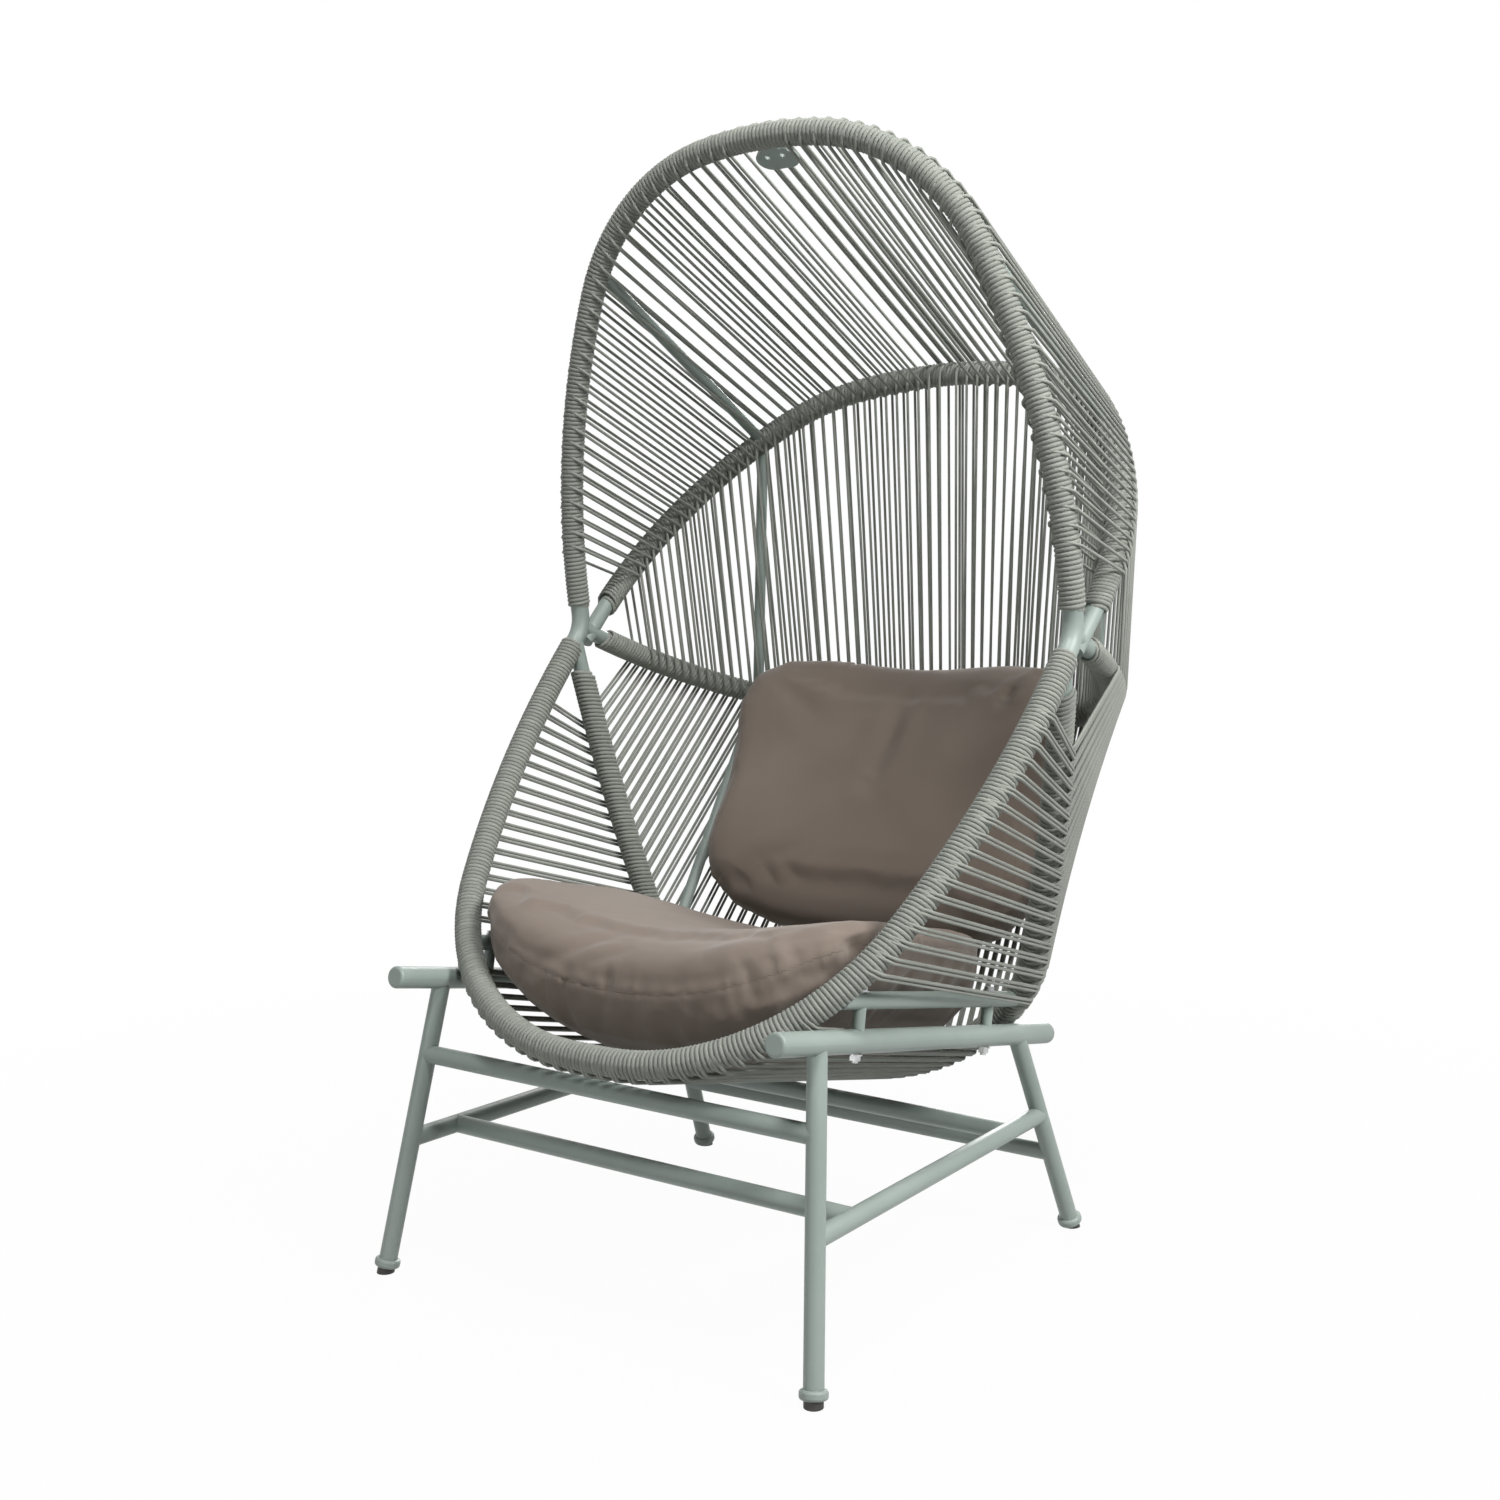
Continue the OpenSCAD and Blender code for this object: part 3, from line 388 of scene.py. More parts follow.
def dust_group():
    """Mask of dust that gathers low down and on faces that look up."""
    net, given, out = tree_with(
        "settled dust",
        "ShaderNodeTree",
        [("Reach", "Float", 0.25), ("Amount", "Float", 0.5)],
        [("Mask", "Float")],
    )
    height = net.node("ShaderNodeSeparateXYZ", {"Vector": object_place(net)}).outputs["Z"]
    low = net.node(
        "ShaderNodeMapRange",
        {"Value": height, "From Min": 0.0, "From Max": given["Reach"], "To Min": 1.0, "To Max": 0.0},
    )
    normal = net.node("ShaderNodeNewGeometry").outputs["Normal"]
    upward = net.node("ShaderNodeSeparateXYZ", {"Vector": normal}).outputs["Z"]
    upward = net.sum("MAXIMUM", upward, 0.0)
    speckle = net.node("ShaderNodeTexNoise", {"Vector": object_place(net), "Scale": 60.0, "Detail": 5.0})
    gather = net.sum("ADD", net.sum("MULTIPLY", low, 0.6), net.sum("MULTIPLY", upward, 0.4))
    mask = net.sum("MULTIPLY", net.sum("MULTIPLY", gather, speckle.outputs[0]), given["Amount"])
    net.fill(out["Mask"], mask)
    return net.tree


def rope_group():
    """Braid of a round rope: shade and height from its length and the way round it."""
    net, given, out = tree_with(
        "rope braid",
        "ShaderNodeTree",
        [("Plait Length", "Float", 0.006), ("Strands", "Float", 4.0)],
        [("Height", "Float"), ("Variation", "Float")],
    )
    run = net.node("ShaderNodeAttribute", attribute_name="rope_run").outputs["Fac"]
    turn = net.node("ShaderNodeAttribute", attribute_name="rope_turn").outputs["Vector"]
    parts = net.node("ShaderNodeSeparateXYZ", {"Vector": turn})
    angle = net.sum("ARCTAN2", parts.outputs["Y"], parts.outputs["X"])
    along = net.sum("DIVIDE", net.sum("MULTIPLY", run, math.tau), given["Plait Length"])
    around = net.sum("MULTIPLY", angle, given["Strands"])
    one_way = net.sum("SINE", net.sum("ADD", around, along))
    other_way = net.sum("SINE", net.sum("SUBTRACT", around, along))
    height = net.sum("MULTIPLY_ADD", net.sum("MAXIMUM", one_way, other_way), 0.5, 0.5)
    slow = net.node("ShaderNodeTexNoise", {"W": run, "Scale": 9.0, "Detail": 3.0}, noise_dimensions="1D")
    net.fill(out["Height"], height)
    net.fill(out["Variation"], slow.outputs[0])
    return net.tree


def contrast(net, value, low, high):
    """Stretches a soft mask between two levels."""
    made = net.node("ShaderNodeMapRange", {"Value": value, "From Min": low, "From Max": high})
    return made.outputs[0]


def sage_paint(groups):
    """Powder coat on all the steel tube."""
    made, net, output = material("sage_powder_coat")
    grain = group_of(net, groups["grain"], Cloud_Size=0.15, Grain_Size=0.0011, Relief=0.35)
    clouds = contrast(net, grain["Clouds"], 0.35, 0.65)
    colour = mixed(net, clouds, srgb(139, 151, 145), srgb(147, 159, 153))
    speck = contrast(net, grain["Grain"], 0.62, 0.7)
    colour = mixed(net, net.sum("MULTIPLY", speck, 0.25), colour, srgb(122, 134, 128))
    dust = group_of(net, groups["dust"], Reach=0.2, Amount=0.25)
    colour = mixed(net, dust["Mask"], colour, srgb(172, 170, 160))
    rough = net.sum("MULTIPLY_ADD", grain["Clouds"], 0.12, 0.36)
    finish_material(
        net, output, Base_Color=colour, Roughness=rough, Normal=grain["Normal"],
        Specular_IOR_Level=0.45,
    )
    return made


def rope_fibre(groups):
    """Grey-green braided outdoor rope, with painted shade in the grooves of its braid."""
    made, net, output = material("sage_grey_rope")
    braid = group_of(net, groups["rope"], Plait_Length=0.0055, Strands=3.0)
    slow = contrast(net, braid["Variation"], 0.3, 0.7)
    colour = mixed(net, slow, srgb(131, 135, 128), srgb(146, 149, 141))
    # Painted shade: the low parts of the braid, between its strands, are darkened
    painted_braid_shade = net.sum("SUBTRACT", 1.0, contrast(net, braid["Height"], 0.5, 0.9))
    colour = mixed(net, net.sum("MULTIPLY", painted_braid_shade, 0.16), colour, srgb(84, 88, 82))
    bump = net.node("ShaderNodeBump", {"Strength": 0.3, "Distance": 0.0004, "Height": braid["Height"]})
    finish_material(
        net, output, Base_Color=colour, Roughness=0.72, Normal=bump, Specular_IOR_Level=0.3,
        Sheen_Weight=0.15, Sheen_Roughness=0.5,
    )
    return made


# Distances from a cushion's seam between which the painted shade in its groove, and the bump that sinks
# it, fade out
SEAM_SHADE_AND_SINK = (0.0004, 0.0016)


def taupe_cloth():
    """Cover cloth of the two cushions: one plain colour, darkened with painted shade and sunk along its
    stitches.
    """
    made, net, output = material("taupe_slub_cloth")
    from_seam = net.node("ShaderNodeAttribute", attribute_name="seam").outputs["Fac"]
    line = net.node(
        "ShaderNodeMapRange",
        {"Value": net.sum("ABSOLUTE", from_seam), "From Min": SEAM_SHADE_AND_SINK[0],
         "From Max": SEAM_SHADE_AND_SINK[1], "To Min": 1.0, "To Max": 0.0},
    )
    # Painted shade: a dark line where the cloth sinks into the seam
    painted_seam_shade = net.sum("MULTIPLY", line, 0.6)
    colour = mixed(net, painted_seam_shade, srgb(126, 114, 104), srgb(70, 61, 54))
    relief = net.sum("MULTIPLY", line, -2.0)
    bump = net.node("ShaderNodeBump", {"Strength": 0.45, "Distance": 0.0004, "Height": relief})
    finish_material(
        net, output, Base_Color=colour, Roughness=0.88, Normal=bump, Specular_IOR_Level=0.2,
        Sheen_Weight=0.25, Sheen_Roughness=0.55,
    )
    return made


def zinc_steel(groups):
    """Bright zinc on the bolts, washers and nuts."""
    made, net, output = material("bright_zinc")
    grain = group_of(net, groups["grain"], Cloud_Size=0.006, Grain_Size=0.0005, Relief=0.25)
    clouds = contrast(net, grain["Clouds"], 0.3, 0.7)
    colour = mixed(net, clouds, srgb(176, 178, 180), srgb(205, 206, 204))
    rough = net.sum("MULTIPLY_ADD", grain["Clouds"], 0.3, 0.18)
    finish_material(
        net, output, Base_Color=colour, Metallic=1.0, Roughness=rough, Normal=grain["Normal"]
    )
    return made


def glide_plastic(groups):
    """Black moulded plastic of the glides."""
    made, net, output = material("black_glide_plastic")
    grain = group_of(net, groups["grain"], Cloud_Size=0.01, Grain_Size=0.0006, Relief=0.5)
    dust = group_of(net, groups["dust"], Reach=0.03, Amount=0.5)
    colour = mixed(net, dust["Mask"], srgb(26, 26, 27), srgb(110, 106, 98))
    rough = net.sum("MULTIPLY_ADD", grain["Clouds"], 0.2, 0.45)
    finish_material(net, output, Base_Color=colour, Roughness=rough, Normal=grain["Normal"])
    return made


# The pod's ribs

def circle_meet(first, first_r, second, second_r):
    """Where two circles meet, on the left of the way from the first centre to the second."""
    way = second - first
    gap = way.length
    way = way / gap
    along = (gap * gap + first_r * first_r - second_r * second_r) / (2 * gap)
    aside = math.sqrt(first_r * first_r - along * along)
    return first + along * way + aside * Vector((-way.y, way.x))


class Rib:
    """Axis of a bent tube: side, shoulder and crown arcs in a tilted plane, the same on both sides.

    Places on it are signed distances from its crown, positive on the right.
    """

    def __init__(self, end, tilt, reach, radii, splay, root, tube_d, wrap_d, bare):
        self.y, self.z = end[1] * MM, end[2] * MM
        self.tilt = math.radians(tilt)
        self.side_r, self.shoulder_r, self.crown_r = (r * MM for r in radii)
        splay = math.radians(splay)
        ahead = Vector((math.sin(splay), math.cos(splay)))
        start = Vector((end[0] * MM, 0)) + root * MM * ahead
        self.side_c = start + self.side_r * Vector((-ahead.y, ahead.x))
        self.crown_c = Vector((0, reach * MM - self.crown_r))
        self.shoulder_c = circle_meet(
            self.side_c, self.side_r - self.shoulder_r, self.crown_c, self.crown_r - self.shoulder_r
        )
        to_side = self.shoulder_c - self.side_c
        to_crown = self.shoulder_c - self.crown_c
        self.side_a = math.atan2(to_side.y, to_side.x)
        self.crown_a = math.atan2(to_crown.y, to_crown.x)
        self.crown_len = self.crown_r * (math.pi / 2 - self.crown_a)
        self.shoulder_len = self.shoulder_r * (self.crown_a - self.side_a)
        self.half = self.crown_len + self.shoulder_len + self.side_r * (self.side_a + splay)
        self.normal = Vector((0, -math.sin(self.tilt), math.cos(self.tilt)))
        self.tube_r = tube_d / 2 * MM
        self.wrap_r = wrap_d / 2 * MM
        self.wound = self.half - (bare - root) * MM

    def arc(self, t):
        """Centre, radius and angle of the outline at a distance t from the crown."""
        if t < self.crown_len:
            return self.crown_c, self.crown_r, math.pi / 2 - t / self.crown_r
        t -= self.crown_len
        if t < self.shoulder_len:
            return self.shoulder_c, self.shoulder_r, self.crown_a - t / self.shoulder_r
        t -= self.shoulder_len
        return self.side_c, self.side_r, self.side_a - t / self.side_r

    def point(self, t):
        """Place on the axis."""
        centre, radius, angle = self.arc(abs(t))
        x = centre.x + radius * math.cos(angle)
        v = centre.y + radius * math.sin(angle)
        return Vector((
            math.copysign(x, t), self.y + v * math.cos(self.tilt), self.z + v * math.sin(self.tilt)
        ))

    def direction(self, t):
        """Unit vector along the axis, to the right."""
        angle = self.arc(abs(t))[2]
        down = -math.copysign(math.cos(angle), t)
        return Vector((math.sin(angle), down * math.cos(self.tilt), down * math.sin(self.tilt)))

    def axis(self, reach, step=0.006):
        """Points along the axis between the two ends of the winding."""
        count = round(2 * reach / step)
        return [self.point(reach * (2 * i / count - 1)) for i in range(count + 1)]


def knee_point(back=0):
    """The right knee, or a place behind it."""
    return KNEE[0], KNEE[1] + back, KNEE[2]


# End, tilt, reach from end to crown, side, shoulder and crown radius, splay, straight root,
# tube and winding diameter, and bare length at the end, in millimetres and degrees
RIBS = {
    "arch": Rib(knee_point(), 99, 685, (1112, 300, 662), 1.1, 25, HOOP_D, 36, 34),
    "mouth": Rib(knee_point(), 227.4, 712, (1488, 345, 1878), -0.1, 25, HOOP_D, 38, 34),
    "crest": Rib(knee_point(25), 44.8, 575, (692, 245, 605), 2.1, 25, RIB_D, 38, 50),
    "waist": Rib(knee_point(), -20.3, 470, (527, 399, 513), -2.5, 44, RIB_D, 36, 50),
    "keel": Rib(knee_point(-25), -79.1, 666, (3110, 207, 401), -7.2, 54, RIB_D, 38, 72),
}


# Rope

# Rib, seed and lean of the turns of each winding
WINDINGS = {
    "wrap_hoop_upper": ("arch", 11.0, 0.0),
    "wrap_hoop_lower": ("mouth", 12.0, 0.0),
    "wrap_upper_back": ("crest", 13.0, 0.45),
    "wrap_lower_back": ("waist", 14.0, 0.45),
    "wrap_bottom": ("keel", 15.0, 0.45),
}
ROPE_R = ROPE_D / 2 * MM
# The turns of a winding are pressed flat: wider along the rib than thick
TURN_PITCH = 6.3 * MM
TURN_FLATNESS = 1.35
TURN_UNEVENNESS = 0.2 * MM
TURN_STEPS = 12
TURN_SIDES = 8
STRAND_SIDES = 6


def winding(node, tree, rope):
    """The close winding that covers one rib."""
    name, seed, lean = WINDINGS[node]
    rib = RIBS[name]
    made = grown(
        node.replace("wrap", "rope"),
        [rib.axis(rib.wound)],
        tree,
        {
            "Plane Normal": rib.normal,
            "Winding Radius": rib.wrap_r - ROPE_R,
            "Rope Radius": ROPE_R,
            "Turns": round(2 * rib.wound / TURN_PITCH),
            "Steps per Turn": TURN_STEPS,
            "Sides": TURN_SIDES,
            "Flatness": TURN_FLATNESS,
            "Unevenness": TURN_UNEVENNESS,
            "Lean": lean,
            "Seed": seed,
            "Rope": rope,
        },
    )
    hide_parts(node)
    return made


def away_from_pod(vector, point):
    """The same vector, turned to the outer side of the pod."""
    return -vector if vector.dot(point - POD_MIDDLE) < 0 else vector


def smooth_step(share):
    """Rises softly from 0 to 1."""
    share = min(max(share, 0.0), 1.0)
    return share * share * (3 - 2 * share)


class Landing:
    """Where a strand leaves the winding of a rib, and how its tail goes on round it."""

    # Angle round the rib that a tail covers, and where it has come flush and sinks under the turns
    TAIL = math.radians(125)
    FLUSH_BY = math.radians(45)
    SINK_FROM = math.radians(60)
    SINK_WITHIN = math.radians(60)
    TAIL_POINTS = 7

    def __init__(self, rib, t, toward, inner):
        self.centre = rib.point(t)
        self.along = rib.direction(t)
        self.out = away_from_pod(self.along.cross(toward).normalized(), self.centre)
        if inner:
            self.out = -self.out
        self.radius = rib.wrap_r + ROPE_R + (2 if inner else 1) * ROPE_GAP * MM
        self.flush = rib.wrap_r - 1.05 * ROPE_R
        self.sunk = rib.wrap_r - 3 * ROPE_R
        self.leave = self.centre + self.radius * self.out

    def tail(self, way):
        """Points of the tail, from the strand on, for a strand that leaves along the unit vector way."""
        ahead = self.along.cross(self.out)
        if ahead.dot(way) < 0:
            ahead = -ahead
        lean = way.dot(self.along) / max(way.dot(ahead), 0.2)
        points = []
        for i in range(1, self.TAIL_POINTS + 1):
            turn = self.TAIL * i / self.TAIL_POINTS
            reach = self.radius
            reach += (self.flush - self.radius) * smooth_step(turn / self.FLUSH_BY)
            reach += (self.sunk - self.flush) * smooth_step((turn - self.SINK_FROM) / self.SINK_WITHIN)
            slide = -lean * self.radius * (turn - turn * turn / (2 * self.TAIL))
            radial = math.cos(turn) * self.out - math.sin(turn) * ahead
            points.append(self.centre + reach * radial + slide * self.along)
        return points


def pair_shift(rib, t, toward):
    """Distance along a rib by which each strand of a pair lies beside the pair's middle."""
    slant = rib.direction(t).cross(toward.normalized()).length
    return (ROPE_D + PAIR_GAP) / 2 * MM / slant


def strand_line(rib_a, ta, rib_b, tb, inner):
    """Points of one strand, from the end of one tail to the end of the other."""
    toward = rib_b.point(tb) - rib_a.point(ta)
    start = Landing(rib_a, ta, toward, inner)
    end = Landing(rib_b, tb, toward, inner)
    way = (end.leave - start.leave).normalized()
    tail_a = start.tail(way)
    tail_b = end.tail(-way)
    return tail_a[::-1] + [start.leave, end.leave] + tail_b


# The two ribs, the first place, and the distance from the middle where pairs go round both sides
PANELS = {
    "hood_strands": ("arch", "crest", 1, (HANGER_W / 2 + ROPE_D) * MM),
    "back_strands": ("crest", "waist", 2, 0.0),
    "low_back_strands": ("waist", "keel", 1, math.inf),
    "seat_strands": ("mouth", "keel", 2, math.inf),
}
# Where the posts stand on each side, their radius, and the room they need between strands
POST_X = 310 * MM
POST_YS = (-307.1 * MM, 18.3 * MM)
POST_R = 8
POST_ROOM = (POST_R + PAIR_GAP + 1.5 * ROPE_D) * MM


def meets_post(p, q):
    """Whether a strand under the runners would run into one of the four posts."""
    def x_at(y):
        return p.x + (q.x - p.x) * (y - p.y) / (q.y - p.y)

    return min(abs(abs(x_at(y)) - POST_X) for y in POST_YS) < POST_ROOM


def panel(node, tree, rope):
    """The pairs of strands between two ribs."""
    first, second, start, two_sided = PANELS[node]
    rib_a, rib_b = RIBS[first], RIBS[second]
    lines = []
    for place in range(start, 2 * PAIRS, 2):
        share = place / PAIRS - 1
        ta = share * (rib_a.half - KNEE_CLEAR * MM)
        tb = share * (rib_b.half - KNEE_CLEAR * MM)
        toward = rib_b.point(tb) - rib_a.point(ta)
        if node == "seat_strands":
            p = Landing(rib_a, ta, toward, False).leave
            q = Landing(rib_b, tb, toward, False).leave
            if meets_post(p, q):
                continue
        shift_a = pair_shift(rib_a, ta, toward)
        shift_b = pair_shift(rib_b, tb, toward)
        for k in (-1, 1):
            inner = -k * ta > two_sided
            slip = math.copysign(INNER_SLIP * MM, ta) if inner else 0.0
            lines.append(strand_line(
                rib_a, ta + k * shift_a - slip, rib_b, tb + k * shift_b, inner
            ))
    made = grown(
        node.replace("strands", "ropes"),
        lines,
        tree,
        {"Rope Radius": ROPE_R, "Sides": STRAND_SIDES, "Rope": rope},
    )
    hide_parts(node)
    return made


# Cushions

def joined_copy(node, name):
    """A copy of a CAD node's mesh with its loose triangles merged."""
    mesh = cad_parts[node].data.copy()
    mesh.materials.clear()
    made = bpy.data.objects.new(name, mesh)
    bpy.context.scene.collection.objects.link(made)
    work = bmesh.new()
    work.from_mesh(mesh)
    bmesh.ops.remove_doubles(work, verts=work.verts, dist=1e-5)
    bmesh.ops.recalc_face_normals(work, faces=work.faces)
    work.to_mesh(mesh)
    work.free()
    return made


# Seat cushion, as the CAD source gives it: width, depth, middle, thickness, rise of its sides, and
# the height at which it lies over the strands
SEAT_W = 0.664
SEAT_DEPTH = 0.540
SEAT_Y = -0.151
SEAT_T = 0.200
SEAT_CURL = 0.084
SEAT_LIFT = 0.013
# Back cushion: width, height, middle, how far its sides come forward, and how far it leans back
BACK_W = 0.610
BACK_H = 0.456
BACK_Y = 0.300
BACK_Z = 0.604
BACK_BEND = 0.066
BACK_RECLINE = math.radians(23)
BACK_FACE = Vector((0, -math.cos(BACK_RECLINE), math.sin(BACK_RECLINE)))
# Share by which the sides of both are drawn in between the corners, and how square the corners are
SIDE_DRAW = 0.05
SEAT_SQUARENESS = 3
BACK_SQUARENESS = 4.5


def rounded_square(angle, squareness):
    """Radius of a rounded square with its sides drawn in between the corners."""
    across, along = abs(math.cos(angle)), abs(math.sin(angle))
    drawn = 1 - SIDE_DRAW * math.cos(2 * angle) ** 2
    return drawn / (across ** squareness + along ** squareness) ** (1 / squareness)


def at_x(rib, x):
    """Point of a rib's axis at a distance x from the middle plane."""
    low, high = 0.0, rib.half * 0.8
    for _ in range(30):
        middle = (low + high) / 2
        low, high = (middle, high) if rib.point(middle).x < x else (low, middle)
    return rib.point(low)


def bowl_z(x, y):
    """Height of the strands that the seat cushion lies in."""
    a, b = at_x(RIBS["mouth"], abs(x)), at_x(RIBS["keel"], abs(x))
    return a.z + (b.z - a.z) * (y - a.y) / (b.y - a.y) - RIBS["mouth"].wrap_r - ROPE_GAP * MM


def seat_seam(angle):
    """Place on the seat cushion's seam, halfway between its two faces."""
    reach = rounded_square(angle, SEAT_SQUARENESS)
    x = SEAT_W / 2 * reach * math.cos(angle)
    y = SEAT_Y + SEAT_DEPTH / 2 * reach * math.sin(angle)
    low = bowl_z(x, y) + SEAT_LIFT
    high = bowl_z(0, y) + SEAT_T + SEAT_CURL * (2 * x / SEAT_W) ** 2
    return Vector((x, y, (low + high) / 2))


def back_seam(angle):
    """Place on the back cushion's seam."""
    reach = rounded_square(angle, BACK_SQUARENESS)
    x = BACK_W / 2 * reach * math.cos(angle)
    v = BACK_H / 2 * reach * math.sin(angle)
    bent = -BACK_BEND * (2 * x / BACK_W) ** 2
    lean_y, lean_z = math.sin(BACK_RECLINE), math.cos(BACK_RECLINE)
    return Vector((x, BACK_Y + v * lean_y + bent * lean_z, BACK_Z + v * lean_z - bent * lean_y))


class Seam:
    """Closed line where the two halves of a cover meet."""

    STEPS = 720

    def __init__(self, place, face):
        self.face = face
        self.points = [place(math.tau * i / self.STEPS) for i in range(self.STEPS)]
        self.runs = [0.0]
        for a, b in zip(self.points, self.points[1:] + self.points[:1]):
            self.runs.append(self.runs[-1] + (b - a).length)
        self.tree = KDTree(self.STEPS)
        for i, point in enumerate(self.points):
            self.tree.insert(point, i)
        self.tree.balance()

    def near(self, point):
        """Signed distance from the seam, positive on the face side, and the place along it."""
        found, i, distance = self.tree.find(point)
        return math.copysign(distance, (point - found).dot(self.face)), self.runs[i]


# How the covers' cloth behaves while it is blown up
CLOTH = {
    "quality": 4,
    "mass": 0.25,
    "tension_stiffness": 12,
    "compression_stiffness": 12,
    "shear_stiffness": 8,
    "bending_stiffness": 0.4,
    "vertex_group_mass": "held",
    "pin_stiffness": 1.0,
    "use_pressure": True,
    "uniform_pressure_force": 4.0,
}
CLOTH_FRAMES = 20
# Distances from the seam up to which the cloth is held fast, and held in part
HELD_FAST = 0.006
HELD_IN_PART = 0.012
HELD_SHARE = 0.6


def stuffed(obj, seam, spare):
    """Blows a cushion up like a bag that is held at its seam and has a spare share of cloth."""
    group = obj.vertex_groups.new(name="held")
    for vertex in obj.data.vertices:
        distance = abs(seam.near(vertex.co)[0])
        if distance < HELD_IN_PART:
            group.add([vertex.index], 1.0 if distance < HELD_FAST else HELD_SHARE, "REPLACE")
    cloth = obj.modifiers.new("cloth", "CLOTH")
    for name, value in CLOTH.items():
        setattr(cloth.settings, name, value)
    cloth.settings.shrink_min = -spare
    cloth.settings.effector_weights.gravity = 0
    cloth.collision_settings.use_collision = False
    cloth.point_cache.frame_start = 1
    cloth.point_cache.frame_end = CLOTH_FRAMES
    scene = bpy.context.scene
    for number in range(1, CLOTH_FRAMES + 1):
        scene.frame_set(number)
    applied(obj)
    scene.frame_set(1)


def kept_inside(obj, cover, room):
    """Pulls back every point that has left the cover's solid by more than the room there is."""
    walls = BVHTree.FromObject(cover, bpy.context.evaluated_depsgraph_get())
    for vertex in obj.data.vertices:
        place, normal = walls.find_nearest(vertex.co)[:2]
        if place is None:
            continue
        beyond = (vertex.co - place).dot(normal)
        if beyond > room:
            vertex.co = place + normal * room


# Puckers along a seam: folds in each metre, and stretches that gather more or less
BROAD_FOLDS = 62
BROAD_SHARE = 0.65
NARROW_FOLDS = 118
NARROW_SHARE = 0.35
GATHERS = 9
MEAN_GATHER = 0.1
GATHER_SPREAD = 1.7
LEAST_GATHER = 0.12
PUCKER_SEED = 3.0
# Length of a pucker, the height that it stands proud at most, and where it has long faded out
PUCKER_GAIN = 2.2
PUCKER_REACH = 0.014
PUCKER_TOP = 0.0012
PUCKER_END = 0.09
# Depth and half width of the groove that the seam itself draws
SEAM_DEPTH = 0.0020
SEAM_HALF_W = 0.0045


def puckered(obj, seam, depth):
    """Gathers the cloth in short folds square to the seam, and sinks the seam itself."""
    seed = PUCKER_SEED
    normals = [vertex.normal.copy() for vertex in obj.data.vertices]
    for vertex, normal in zip(obj.data.vertices, normals):
        distance, run = seam.near(vertex.co)
        away = abs(distance)
        if away > PUCKER_END:
            continue
        side = 7.0 if distance > 0 else 31.0
        fold = noise.noise(Vector((run * BROAD_FOLDS, side, seed))) * BROAD_SHARE
        fold += noise.noise(Vector((run * NARROW_FOLDS, side * 2, seed))) * NARROW_SHARE
        gather = noise.noise(Vector((run * GATHERS, seed, side))) * GATHER_SPREAD + MEAN_GATHER
        gather = max(gather, LEAST_GATHER)
        reach = PUCKER_REACH * (1 + gather)
        lift = depth * fold * gather * math.exp(-(away / reach) ** 1.5) * PUCKER_GAIN
        groove = -SEAM_DEPTH * math.exp(-(away / SEAM_HALF_W) ** 2)
        vertex.co += normal * (min(lift, PUCKER_TOP) + groove)


def swollen(obj, middle, reach, move):
    """Moves the part of a cushion round a point, less and less with the distance from it."""
    for vertex in obj.data.vertices:
        away = vertex.co - middle
        share = sum((a / r) ** 2 for a, r in zip(away, reach))
        vertex.co += move * math.exp(-share)


# A fold's reach in half widths, and the height of the swells beside it as a share of its depth
CREASE_END = 3.5
CREASE_SWELL = 0.35


def creased(obj, points, depth, width):
    """Presses one soft fold in, with a low swell on both its sides, along points of the photograph."""
    walls = BVHTree.FromObject(obj, bpy.context.evaluated_depsgraph_get())
    line = [hit for hit in (seen_at(walls, *point) for point in points) if hit is not None]
    if len(line) < 2:
        return
    normals = [vertex.normal.copy() for vertex in obj.data.vertices]
    for vertex, normal in zip(obj.data.vertices, normals):
        best, share = 1.0, 0.0
        for i, (a, b) in enumerate(zip(line, line[1:])):
            along = min(max(intersect_point_line(vertex.co, a, b)[1], 0.0), 1.0)
            gap = (vertex.co - (a + (b - a) * along)).length
            if gap < best:
                best, share = gap, (i + along) / (len(line) - 1)
        if best < CREASE_END * width:
            fade = math.sin(math.pi * min(max(share, 0.06), 0.94)) ** 0.6
            press = math.exp(-(best / width) ** 2)
            press -= CREASE_SWELL * math.exp(-((best - 2 * width) / width) ** 2)
            vertex.co -= normal * depth * fade * press


def seam_map(obj, seam):
    """Keeps on the mesh how far each point lies from the seam."""
    distances = [seam.near(vertex.co)[0] for vertex in obj.data.vertices]
    stitch = obj.data.attributes.new("seam", "FLOAT", "POINT")
    stitch.data.foreach_set("value", distances)


def seen_at(walls, column, row):
    """The point of a surface that shows at a pixel of the photograph."""
    middle = PHOTO_PIXELS / 2
    x, y = (column - middle) / FOCAL_PIXELS, (middle - row) / FOCAL_PIXELS
    turned_x = x * math.cos(CAMERA_ROLL) - y * math.sin(CAMERA_ROLL)
    turned_y = x * math.sin(CAMERA_ROLL) + y * math.cos(CAMERA_ROLL)
    way = (CAMERA_AHEAD + turned_x * CAMERA_RIGHT + turned_y * CAMERA_UP).normalized()
    return walls.ray_cast(CAMERA_PLACE, way)[0]


